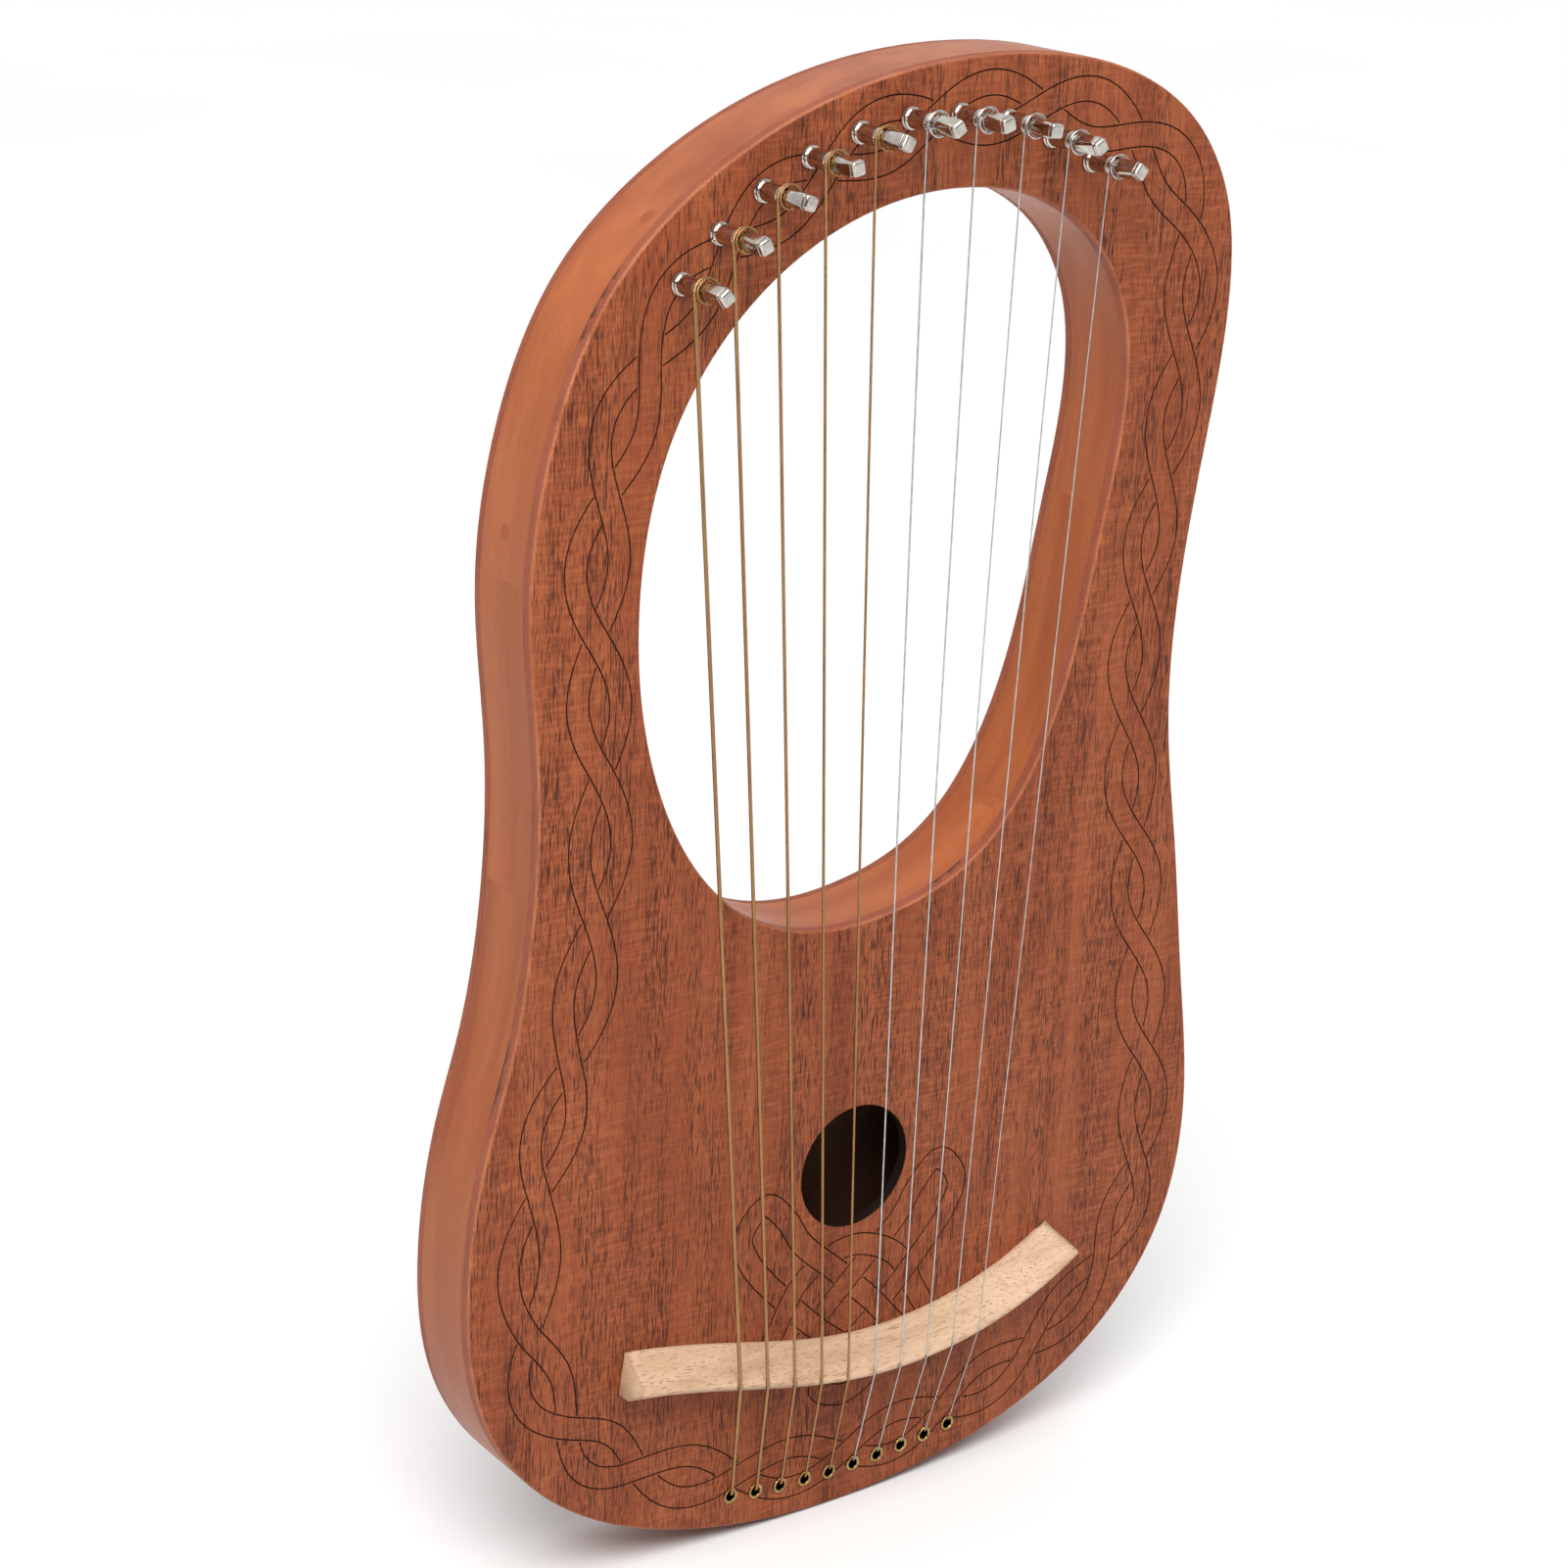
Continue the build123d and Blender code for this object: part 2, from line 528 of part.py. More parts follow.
def build_strings():
    """Write the bridge, every pin and every string with its coil."""
    routes = [string_route(index) for index in range(STRING_COUNT)]
    write("bridge", bridge(routes))
    for index, route in enumerate(routes):
        number = f"{index + 1:02d}"
        wire = tube(route, STRING_DIAMETERS[index] / 2)
        write(f"string_{number}", wire)
        write(f"tuning_pin_{number}", tuning_pin(PINS[index]))
        write(f"string_coil_{number}", string_coil(index))


# ---------------------------------------------------------- the tail's fittings
def eyelet(place):
    """A brass eyelet with a rounded lip that the string bends over."""
    top = -EYELET_FLANGE_HEIGHT
    lip = EYELET_LIP_ROUND
    lip_centre = (EYELET_BORE_RADIUS + lip, top + lip)
    lip_middle = (lip_centre[0] - lip * cos(pi / 4), lip_centre[1] - lip * sin(pi / 4))
    steps = Polyline(
        (lip_centre[0], top), (EYELET_FLANGE_RADIUS, top / 2), (EYELET_FLANGE_RADIUS, 0),
        (EYELET_BARREL_RADIUS, 0), (EYELET_BARREL_RADIUS, EYELET_LENGTH),
        (EYELET_BORE_RADIUS, EYELET_LENGTH), (EYELET_BORE_RADIUS, lip_centre[1]),
    )
    rounding = ThreePointArc((EYELET_BORE_RADIUS, lip_centre[1]), lip_middle, (lip_centre[0], top))
    plane = Plane(origin=(place.X, 0, place.Z), x_dir=(1, 0, 0), z_dir=(0, 0, 1))
    section = plane * make_face([*steps.edges(), rounding])
    return revolve(section, axis=Axis((place.X, 0, place.Z), (0, 1, 0)))


def ferrule(place):
    """A rear ferrule: flush flange, barrel, and a seat that holds the string's ball."""
    front = BODY_DEPTH - FERRULE_LENGTH
    seat = front + FERRULE_SEAT
    return turned(place.X, place.Z, [
        (FERRULE_STRING_RADIUS, front), (FERRULE_RADIUS, front),
        (FERRULE_RADIUS, BODY_DEPTH - FERRULE_FLANGE_HEIGHT),
        (FERRULE_FLANGE_RADIUS, BODY_DEPTH - FERRULE_FLANGE_HEIGHT),
        (FERRULE_FLANGE_RADIUS, BODY_DEPTH), (BALL_SEAT_RADIUS, BODY_DEPTH),
        (BALL_SEAT_RADIUS, seat), (FERRULE_STRING_RADIUS, seat),
    ])


def ball_end(place):
    """The brass ball on a string's end, resting on its ferrule's seat."""
    front = BODY_DEPTH - FERRULE_LENGTH + FERRULE_SEAT
    return rod(place.X, place.Z, BALL_RADIUS, front, front + BALL_LENGTH)


def build_fittings():
    """Write the eyelets, the ferrules and the ball ends, ten of each."""
    write("string_eyelets", *(eyelet(place) for place in EYELETS))
    write("string_ferrules", *(ferrule(place) for place in EYELETS))
    write("ball_ends", *(ball_end(place) for place in EYELETS))


os.makedirs("parts", exist_ok=True)
build_body()
build_strings()
build_fittings()
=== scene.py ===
"""A ten-string lyre harp: its finishes, engraving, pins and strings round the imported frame."""
import logging
import math
from abc import ABC, abstractmethod
from collections.abc import Iterator
from contextlib import contextmanager
from dataclasses import dataclass, field, replace
from enum import Enum

import bpy
import numpy as np
from mathutils import Matrix, Vector


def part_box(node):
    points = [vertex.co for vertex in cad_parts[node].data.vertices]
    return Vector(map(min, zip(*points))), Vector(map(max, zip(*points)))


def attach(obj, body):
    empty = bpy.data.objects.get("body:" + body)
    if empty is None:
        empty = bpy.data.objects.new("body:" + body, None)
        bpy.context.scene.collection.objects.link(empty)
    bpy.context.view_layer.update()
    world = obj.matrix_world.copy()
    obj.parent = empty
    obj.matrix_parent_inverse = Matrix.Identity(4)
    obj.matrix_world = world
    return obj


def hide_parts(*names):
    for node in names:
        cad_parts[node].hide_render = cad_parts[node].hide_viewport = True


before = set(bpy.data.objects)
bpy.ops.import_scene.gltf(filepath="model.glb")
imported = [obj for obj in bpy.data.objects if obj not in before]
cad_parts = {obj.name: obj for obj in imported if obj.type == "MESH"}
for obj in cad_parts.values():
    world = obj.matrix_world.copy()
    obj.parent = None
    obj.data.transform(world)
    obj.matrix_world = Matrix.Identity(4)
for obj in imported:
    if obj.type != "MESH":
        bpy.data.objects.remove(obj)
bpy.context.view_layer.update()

LOG = logging.getLogger("lyre")
MM = 0.001
FACE_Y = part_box("soundboard")[0].y
LOWEST_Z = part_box("tail_block")[0].z
WELD_GAP = 1e-6
NEARLY_PARALLEL = 1e-12

Triple = tuple[float, float, float]
Colour = Triple
Socket = bpy.types.NodeSocket
STILL: Triple = (0.0, 0.0, 0.0)


class Slot(Enum):
    """The record's material slots that new pieces use."""

    FACE = "face_mahogany"
    BEECH = "beech"
    NICKEL = "nickel"
    BRASS = "brass"
    BRONZE = "bronze_wound"
    STEEL = "steel_wire"


class Grain(Enum):
    """The way the fibres of a piece run, as the turn that lays them along Z."""

    UPRIGHT = (0.0, 0.0, 0.0)
    ACROSS = (0.0, math.pi / 2, 0.0)


# ---------------------------------------------------------------- workshop
def deselect() -> None:
    """Take every object out of the selection."""
    bpy.ops.object.select_all(action="DESELECT")


def take(piece: bpy.types.Object) -> bpy.types.Object:
    """Select one piece alone and make it active.

    Args:
        piece: The piece to work on.

    Returns:
        The same piece.
    """
    deselect()
    piece.select_set(True)
    bpy.context.view_layer.objects.active = piece
    return piece


def settle(piece: bpy.types.Object) -> bpy.types.Object:
    """Move a piece's place, turn and scale into its mesh.

    Args:
        piece: The piece to settle.

    Returns:
        The same piece.
    """
    take(piece)
    bpy.ops.object.transform_apply(location=True, rotation=True, scale=True)
    return piece


@contextmanager
def all_in_hand(piece: bpy.types.Object) -> Iterator[None]:
    """Edit one piece with all of its mesh selected.

    Args:
        piece: The piece to edit.

    Returns:
        A context that ends back in object mode.
    """
    take(piece)
    bpy.ops.object.mode_set(mode="EDIT")
    bpy.ops.mesh.select_all(action="SELECT")
    yield
    bpy.ops.object.mode_set(mode="OBJECT")


def work_with(piece: bpy.types.Object, kind: str, **settings: object) -> None:
    """Add a modifier to a piece and apply it.

    Args:
        piece: The piece to work on.
        kind: The modifier's type.
        settings: Values for the modifier's own properties.
    """
    take(piece)
    bpy.ops.object.modifier_add(type=kind)
    modifier = piece.modifiers[-1]
    for key, value in settings.items():
        setattr(modifier, key, value)
    bpy.ops.object.modifier_apply(modifier=modifier.name)


def soften(piece: bpy.types.Object, degrees: float = 35.0) -> None:
    """Shade a piece smooth between faces that meet at less than an angle.

    Args:
        piece: The piece to shade.
        degrees: The sharpest angle that still counts as smooth.
    """
    take(piece)
    bpy.ops.object.shade_smooth_by_angle(angle=math.radians(degrees))
    work_with(piece, "WEIGHTED_NORMAL", keep_sharp=True)


def weld(piece: bpy.types.Object) -> None:
    """Merge the points of a piece that lie together.

    Args:
        piece: The piece to weld.
    """
    with all_in_hand(piece):
        bpy.ops.mesh.remove_doubles(threshold=WELD_GAP)


def face_outwards(piece: bpy.types.Object) -> None:
    """Point every face of a closed piece outwards.

    Args:
        piece: The closed piece.
    """
    with all_in_hand(piece):
        bpy.ops.mesh.normals_make_consistent(inside=False)


def copy_of(source: bpy.types.Object, name: str) -> bpy.types.Object:
    """Copy a piece with a mesh of its own.

    Args:
        source: The piece or CAD node to copy.
        name: The copy's name.

    Returns:
        The copy, which rides on nothing yet.
    """
    mesh = source.data.copy()
    mesh.name = name
    mesh.materials.clear()
    piece = bpy.data.objects.new(name, mesh)
    bpy.context.scene.collection.objects.link(piece)
    return piece


def welded_copy(node: str) -> bpy.types.Object:
    """Copy a CAD node and weld its loose triangles into one skin.

    Args:
        node: The CAD node's name.

    Returns:
        The welded copy.
    """
    piece = copy_of(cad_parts[node], f"{node}_skin")
    weld(piece)
    return piece


def combine(piece: bpy.types.Object, tool: bpy.types.Object, operation: str) -> None:
    """Join, cut or keep the shared part of two closed pieces, and drop the tool.

    Args:
        piece: The piece that changes.
        tool: The closed piece that it is combined with.
        operation: UNION, DIFFERENCE or INTERSECT.
    """
    work_with(
        piece, "BOOLEAN", solver="MANIFOLD", material_mode="TRANSFER", operation=operation, object=tool
    )
    bpy.data.objects.remove(tool)


def turned_piece(name: str, profile: list[tuple[float, float]], steps: int) -> bpy.types.Object:
    """Spin a profile about the Y axis into a closed solid.

    Args:
        name: The new piece's name.
        profile: (radius, y) corners in metres, from one end of the axis to the other.
        steps: How many steps the turn takes.

    Returns:
        The solid, standing on the origin.
    """
    deselect()
    bpy.ops.mesh.primitive_plane_add(size=1.0)
    piece = bpy.context.object
    piece.name = piece.data.name = name
    mesh = piece.data
    mesh.clear_geometry()
    edges = [(index, index + 1) for index in range(len(profile) - 1)]
    mesh.from_pydata([(radius, y, 0.0) for radius, y in profile], edges, [])
    with all_in_hand(piece):
        bpy.ops.mesh.spin(steps=steps, angle=math.tau, center=(0, 0, 0), axis=(0, 1, 0))
    weld(piece)
    face_outwards(piece)
    return piece


def wire_along(
    name: str, runs: list[list[Vector]], radius: float, corners: int, taper: float = 1.0
) -> bpy.types.Object:
    """Lay round wire along runs of points and close its ends.

    Args:
        name: The new piece's name.
        runs: The points of each run, in metres.
        radius: The wire's radius.
        corners: How finely the wire is rounded.
        taper: The radius at the end of a run, as a share of the radius at its start.

    Returns:
        The wire as a mesh.
    """
    curve = bpy.data.curves.new(name, "CURVE")
    curve.dimensions = "3D"
    curve.bevel_depth = radius
    curve.bevel_resolution = corners
    curve.use_fill_caps = True
    for run in runs:
        spline = curve.splines.new("POLY")
        spline.points.add(len(run) - 1)
        for number, (point, place) in enumerate(zip(spline.points, run)):
            point.co = (*place, 1.0)
            point.radius = 1.0 + (taper - 1.0) * number / (len(run) - 1)
    piece = bpy.data.objects.new(name, curve)
    bpy.context.scene.collection.objects.link(piece)
    take(piece)
    bpy.ops.object.convert(target="MESH")
    piece = bpy.context.object
    weld(piece)
    face_outwards(piece)
    return piece


# ---------------------------------------------------------------- finishes
class Wiring:
    """Lays shader nodes in a tree and joins them up."""

    def __init__(self, tree: bpy.types.NodeTree) -> None:
        """Start with an empty tree.

        Args:
            tree: The node tree to fill.
        """
        self.tree = tree
        tree.nodes.clear()

    def add(self, kind: str, **settings: object) -> bpy.types.Node:
        """Add a node.

        Args:
            kind: The node's type.
            settings: Values for the node's own properties.

        Returns:
            The node.
        """
        node = self.tree.nodes.new(kind)
        for key, value in settings.items():
            setattr(node, key, value)
        return node

    def join(self, source: Socket, target: Socket) -> None:
        """Link an output to an input."""
        self.tree.links.new(source, target)

    def ramp(self, value: Socket, *stops: tuple[float, Colour]) -> Socket:
        """Turn a value into a colour.

        Args:
            value: The value to read.
            stops: (position, colour) pairs in order.

        Returns:
            The colour.
        """
        node = self.add("ShaderNodeValToRGB")
        row = node.color_ramp.elements
        while len(row) < len(stops):
            row.new(0.5)
        for element, (position, colour) in zip(row, stops):
            element.position = position
            element.color = (*colour, 1.0)
        self.join(value, node.inputs[0])
        return node.outputs[0]

    def level(
        self, value: Socket, low: float, high: float, to_low: float = 0.0, to_high: float = 1.0
    ) -> Socket:
        """Stretch a value's range and clamp it.

        Args:
            value: The value to read.
            low: The value that becomes to_low.
            high: The value that becomes to_high.
            to_low: The result at low.
            to_high: The result at high.

        Returns:
            The new value.
        """
        node = self.add("ShaderNodeMapRange")
        self.join(value, node.inputs[0])
        for index, number in enumerate((low, high, to_low, to_high), start=1):
            node.inputs[index].default_value = number
        return node.outputs[0]

    def maths(self, way: str, first: Socket, second: Socket | float = 0.0) -> Socket:
        """Work out a value from two others.

        Args:
            way: The operation, such as MULTIPLY.
            first: The first value.
            second: The second value, or a number.

        Returns:
            The result.
        """
        node = self.add("ShaderNodeMath", operation=way)
        self.join(first, node.inputs[0])
        if isinstance(second, float):
            node.inputs[1].default_value = second
        else:
            self.join(second, node.inputs[1])
        return node.outputs[0]

    def product(self, first: Socket, second: Socket | float) -> Socket:
        """Multiply a value by another value or a number."""
        return self.maths("MULTIPLY", first, second)

    def total(self, first: Socket, second: Socket | float) -> Socket:
        """Add two values."""
        return self.maths("ADD", first, second)

    def along(self, where: Socket, axis: str) -> Socket:
        """One part of a place or a direction.

        Args:
            where: The place or direction.
            axis: X, Y or Z.

        Returns:
            Its part along the axis.
        """
        split = self.add("ShaderNodeSeparateXYZ")
        self.join(where, split.inputs[0])
        return split.outputs[axis]


class Bench(Wiring):
    """Lays out the shader nodes of one finish."""

    def __init__(self, name: str) -> None:
        """Start a material with its shader.

        Args:
            name: The material's name.
        """
        self.material = bpy.data.materials.new(name)
        self.material.use_nodes = True
        super().__init__(self.material.node_tree)
        output = self.add("ShaderNodeOutputMaterial")
        self.shader = self.add("ShaderNodeBsdfPrincipled")
        self.join(self.shader.outputs[0], output.inputs[0])
        self.place = self.add("ShaderNodeTexCoord").outputs["Object"]

    def stretched(self, scale: Triple, turn: Triple = STILL, shift: Triple = STILL) -> Socket:
        """The place on the piece, turned and then stretched.

        Args:
            scale: Repeats per metre along X, Y and Z.
            turn: The turn before the stretch, in radians.
            shift: A move of the pattern after the stretch.

        Returns:
            The stretched place.
        """
        turned = self.add("ShaderNodeMapping")
        turned.inputs["Rotation"].default_value = turn
        self.join(self.place, turned.inputs["Vector"])
        mapping = self.add("ShaderNodeMapping")
        mapping.inputs["Scale"].default_value = scale
        mapping.inputs["Location"].default_value = shift
        self.join(turned.outputs[0], mapping.inputs["Vector"])
        return mapping.outputs[0]

    def noise(
        self, where: Socket, detail: float = 3.0, roughness: float = 0.5, warp: float = 0.0
    ) -> Socket:
        """Soft random patches.

        Args:
            where: The stretched place.
            detail: How many finer layers are added.
            roughness: How strong the finer layers are.
            warp: How far the pattern is pulled about.

        Returns:
            A value from 0 to 1.
        """
        node = self.add("ShaderNodeTexNoise")
        node.inputs["Scale"].default_value = 1.0
        node.inputs["Detail"].default_value = detail
        node.inputs["Roughness"].default_value = roughness
        node.inputs["Distortion"].default_value = warp
        self.join(where, node.inputs["Vector"])
        return node.outputs[0]

    def depth(self) -> Socket:
        """The place on the piece along Y, in metres."""
        return self.along(self.place, "Y")

    def blend(self, amount: Socket, below: Socket | Colour, above: Socket | Colour) -> Socket:
        """Lay one colour over another.

        Args:
            amount: How much of the upper colour shows.
            below: The lower colour.
            above: The upper colour.

        Returns:
            The blended colour.
        """
        node = self.add("ShaderNodeMix", data_type="RGBA")
        self.join(amount, node.inputs[0])
        for index, colour in ((6, below), (7, above)):
            if isinstance(colour, tuple):
                node.inputs[index].default_value = (*colour, 1.0)
            else:
                self.join(colour, node.inputs[index])
        return node.outputs[2]

    def relief(self, height: Socket, depth: float, strength: float) -> None:
        """Raise and sink the surface by a value.

        Args:
            height: The value that gives the height.
            depth: The depth of a full step, in metres.
            strength: How strongly the relief shows.
        """
        node = self.add("ShaderNodeBump")
        node.inputs["Strength"].default_value = strength
        node.inputs["Distance"].default_value = depth
        self.join(height, node.inputs["Height"])
        self.join(node.outputs[0], self.shader.inputs["Normal"])

    def colour(self, value: Socket) -> None:
        """Give the shader its colour."""
        self.join(value, self.shader.inputs["Base Color"])

    def roughness(self, value: Socket) -> None:
        """Give the shader its roughness."""
        self.join(value, self.shader.inputs["Roughness"])

    def constant(self, **numbers: float) -> None:
        """Set shader sockets to plain numbers, with _ for a space in a socket's name."""
        for key, number in numbers.items():
            self.shader.inputs[key.replace("_", " ")].default_value = number


@dataclass(frozen=True)
class Finish(ABC):
    """How one kind of surface is finished."""

    @abstractmethod
    def material(self) -> bpy.types.Material:
        """Build the material."""

    def dress(self, piece: bpy.types.Object) -> None:
        """Give a piece this finish alone.

        Args:
            piece: The piece or CAD node.
        """
        piece.data.materials.clear()
        piece.data.materials.append(self.material())


@dataclass(frozen=True)
class FaceMahogany(Finish):
    """Open-pored mahogany under thin matt oil, with stripes, pores and a cross ripple."""

    flat_y: float = FACE_Y
    # Behind this depth, inside the body, the wood takes a painted shade colour.
    shaded_beyond: float | None = None
    hole_reach: float = 0.03
    dark: Colour = (0.175, 0.034, 0.010)
    middle: Colour = (0.285, 0.066, 0.020)
    light: Colour = (0.40, 0.115, 0.040)
    pore: Colour = (0.040, 0.008, 0.004)
    edge: Colour = (0.20, 0.040, 0.018)
    # Lighter line along the rounded edge: a painted highlight, broken up by real wear.
    worn: Colour = (0.44, 0.155, 0.075)
    # Bare inner wood darkened as painted shade inside the closed body.
    bare_in_shade: Colour = (0.055, 0.022, 0.012)
    # Near black for the sound hole's cut wall: painted shade of the dark hollow.
    hole_wall_shade: Colour = (0.010, 0.004, 0.002)

    def material(self) -> bpy.types.Material:
        """Build the material.

        Returns:
            The finished material.
        """
        bench = Bench("mahogany_face")
        stripes = bench.noise(bench.stretched((75.0, 75.0, 3.0)), 5.0, 0.55, 0.3)
        wood = bench.ramp(stripes, (0.28, self.dark), (0.48, self.middle), (0.74, self.light))
        threads = bench.noise(bench.stretched((1300.0, 1300.0, 26.0)), 3.0, 0.65)
        wood = bench.blend(bench.level(threads, 0.36, 0.66, 0.55, 0.0), wood, self.dark)
        ripple = bench.noise(bench.stretched((120.0, 120.0, 1050.0)), 2.0, 0.55)
        patches = bench.noise(bench.stretched((45.0, 45.0, 22.0)), 2.0)
        patches = bench.level(patches, 0.38, 0.62, 0.22, 0.60)
        wood = bench.blend(bench.product(bench.level(ripple, 0.42, 0.66), patches), wood, self.light)
        cluster = bench.level(bench.noise(bench.stretched((110.0, 110.0, 12.0)), 2.0), 0.36, 0.60, 0.3, 1.0)
        fine = bench.level(bench.noise(bench.stretched((3300.0, 3300.0, 250.0)), 1.0), 0.53, 0.62)
        coarse = bench.level(bench.noise(bench.stretched((2100.0, 2100.0, 105.0)), 1.0), 0.585, 0.65)
        pores = bench.product(bench.total(fine, coarse), cluster)
        wood = bench.blend(bench.level(pores, 0.0, 1.0, 0.0, 0.84), wood, self.pore)
        below = bench.maths("ABSOLUTE", bench.total(bench.depth(), -self.flat_y))
        # A lighter line along the rounded edge of the flat face: painted highlight, broken up by real wear.
        wear_and_sheen = bench.level(bench.noise(bench.stretched((60.0, 60.0, 60.0)), 3.0), 0.35, 0.65, 0.25, 0.75)
        worn_rim_highlight = bench.product(bench.level(below, 0.00003, 0.00015), wear_and_sheen)
        wood = bench.blend(worn_rim_highlight, wood, self.worn)
        wood = bench.blend(bench.level(below, 0.0005, 0.0010, 0.0, 0.62), wood, self.edge)
        # The sound hole's cut wall is painted near black: painted shade of the dark hollow behind it.
        ring = self.hole_ring(bench)
        wood = bench.blend(bench.product(bench.level(below, 0.0001, 0.0004), ring), wood, self.hole_wall_shade)
        # The inner face is painted dark: painted shade of the closed body, over bare wood.
        if self.shaded_beyond is not None:
            inside = bench.maths("LESS_THAN", bench.depth(), self.shaded_beyond)
            wood = bench.blend(inside, wood, self.bare_in_shade)
        bench.colour(wood)
        bench.roughness(bench.level(threads, 0.3, 0.7, 0.5, 0.64))
        bench.relief(bench.product(bench.total(pores, bench.product(ripple, -0.35)), -1.0), 0.00008, 0.8)
        bench.constant(Specular_IOR_Level=0.24)
        return bench.material

    def hole_ring(self, bench: Bench) -> Socket:
        """Where the wood lies close round the sound hole's axis, which is the Y axis.

        Args:
            bench: The bench of the material.

        Returns:
            1 near the sound hole and 0 elsewhere.
        """
        span = bench.add("ShaderNodeVectorMath", operation="LENGTH")
        bench.join(bench.stretched((1.0, 0.0, 1.0)), span.inputs[0])
        return bench.maths("LESS_THAN", span.outputs["Value"], self.hole_reach)


@dataclass(frozen=True)
class WallMahogany(Finish):
    """Sanded solid mahogany, paler and smoother than the face."""

    tone: float = 1.0
    grain: Grain = Grain.UPRIGHT
    shift: float = 0.0
    gloss: float = 0.22
    dark: Colour = (0.250, 0.056, 0.013)
    light: Colour = (0.385, 0.108, 0.030)
    pore: Colour = (0.10, 0.024, 0.010)

    def toned(self, colour: Colour) -> Colour:
        """A colour made lighter or darker by the piece's own tone."""
        return tuple(part * self.tone for part in colour)

    def material(self) -> bpy.types.Material:
        """Build the material.

        Returns:
            The finished material.
        """
        bench = Bench("mahogany_wall")
        turn = self.grain.value
        bands = bench.noise(bench.stretched((55.0, 90.0, 2.2), turn, (self.shift, 0, 0)), 4.0, 0.5, 0.25)
        wood = bench.ramp(bands, (0.32, self.toned(self.dark)), (0.68, self.toned(self.light)))
        threads = bench.noise(bench.stretched((700.0, 1300.0, 12.0), turn), 3.0, 0.6)
        wood = bench.blend(bench.level(threads, 0.38, 0.70, 0.30, 0.0), wood, self.toned(self.dark))
        flecks = bench.noise(bench.stretched((2600.0, 2600.0, 240.0), turn), 1.0)
        flecks = bench.level(flecks, 0.64, 0.71)
        wood = bench.blend(bench.product(flecks, 0.34), wood, self.toned(self.pore))
        bench.colour(wood)
        bench.roughness(bench.level(threads, 0.3, 0.7, 0.32, 0.44))
        bench.relief(flecks, -0.00004, 0.5)
        bench.constant(Specular_IOR_Level=self.gloss)
        return bench.material


@dataclass(frozen=True)
class BurntLine(Finish):
    """The scorched floor of an engraved line."""

    dark: Colour = (0.014, 0.005, 0.003)
    light: Colour = (0.045, 0.014, 0.008)

    def material(self) -> bpy.types.Material:
        """Build the material.

        Returns:
            The finished material.
        """
        bench = Bench("burnt_line")
        soot = bench.noise(bench.stretched((420.0, 420.0, 420.0)), 3.0)
        bench.colour(bench.ramp(soot, (0.35, self.dark), (0.7, self.light)))
        bench.roughness(bench.level(soot, 0.3, 0.7, 0.8, 0.95))
        bench.constant(Specular_IOR_Level=0.1)
        return bench.material


@dataclass(frozen=True)
class Beech(Finish):
    """Bare pale beech with its short brown flecks."""

    light: Colour = (0.585, 0.405, 0.270)
    dark: Colour = (0.465, 0.295, 0.180)
    fleck: Colour = (0.25, 0.12, 0.06)
    grain: Grain = Grain.ACROSS

    def material(self) -> bpy.types.Material:
        """Build the material.

        Returns:
            The finished material.
        """
        bench = Bench("beech")
        turn = self.grain.value
        rings = bench.noise(bench.stretched((260.0, 260.0, 9.0), turn), 4.0, 0.55, 0.2)
        wood = bench.ramp(rings, (0.32, self.dark), (0.66, self.light))
        flecks = bench.noise(bench.stretched((2600.0, 2600.0, 250.0), turn), 1.0, 0.5)
        flecks = bench.level(flecks, 0.595, 0.68)
        wood = bench.blend(bench.product(flecks, 0.75), wood, self.fleck)
        bench.colour(wood)
        bench.roughness(bench.level(rings, 0.3, 0.7, 0.5, 0.62))
        bench.relief(flecks, -0.00005, 0.5)
        bench.constant(Specular_IOR_Level=0.3)
        return bench.material


@dataclass(frozen=True)
class Metal(Finish):
    """A bright metal with fine scratches and a dulled bloom."""

    name: str
    bright: Colour
    dull: Colour
    smooth: float
    worn: float
    scratch: Triple = (900.0, 120.0, 900.0)
    # Past this depth, and over this span, the metal is painted near black: painted shade inside a hole.
    shade_beyond: float | None = None
    shade_within: float = 0.0002
    dark: Colour = (0.012, 0.009, 0.006)

    def material(self) -> bpy.types.Material:
        """Build the material.

        Returns:
            The finished material.
        """
        bench = Bench(self.name)
        bloom = bench.noise(bench.stretched((330.0, 330.0, 330.0)), 4.0, 0.6)
        tint = bench.ramp(bloom, (0.35, self.dull), (0.6, self.bright))
        # Below the face the eyelet's bore is painted near black: painted shade inside the hole.
        if self.shade_beyond is not None:
            inside = bench.level(bench.depth(), self.shade_beyond, self.shade_beyond + self.shade_within)
            tint = bench.blend(inside, tint, self.dark)
        bench.colour(tint)
        lines = bench.noise(bench.stretched(self.scratch), 2.0)
        both = bench.product(bench.total(bloom, lines), 0.5)
        bench.roughness(bench.level(both, 0.35, 0.65, self.smooth, self.worn))
        bench.relief(lines, 0.000012, 0.4)
        bench.constant(Metallic=1.0)
        return bench.material


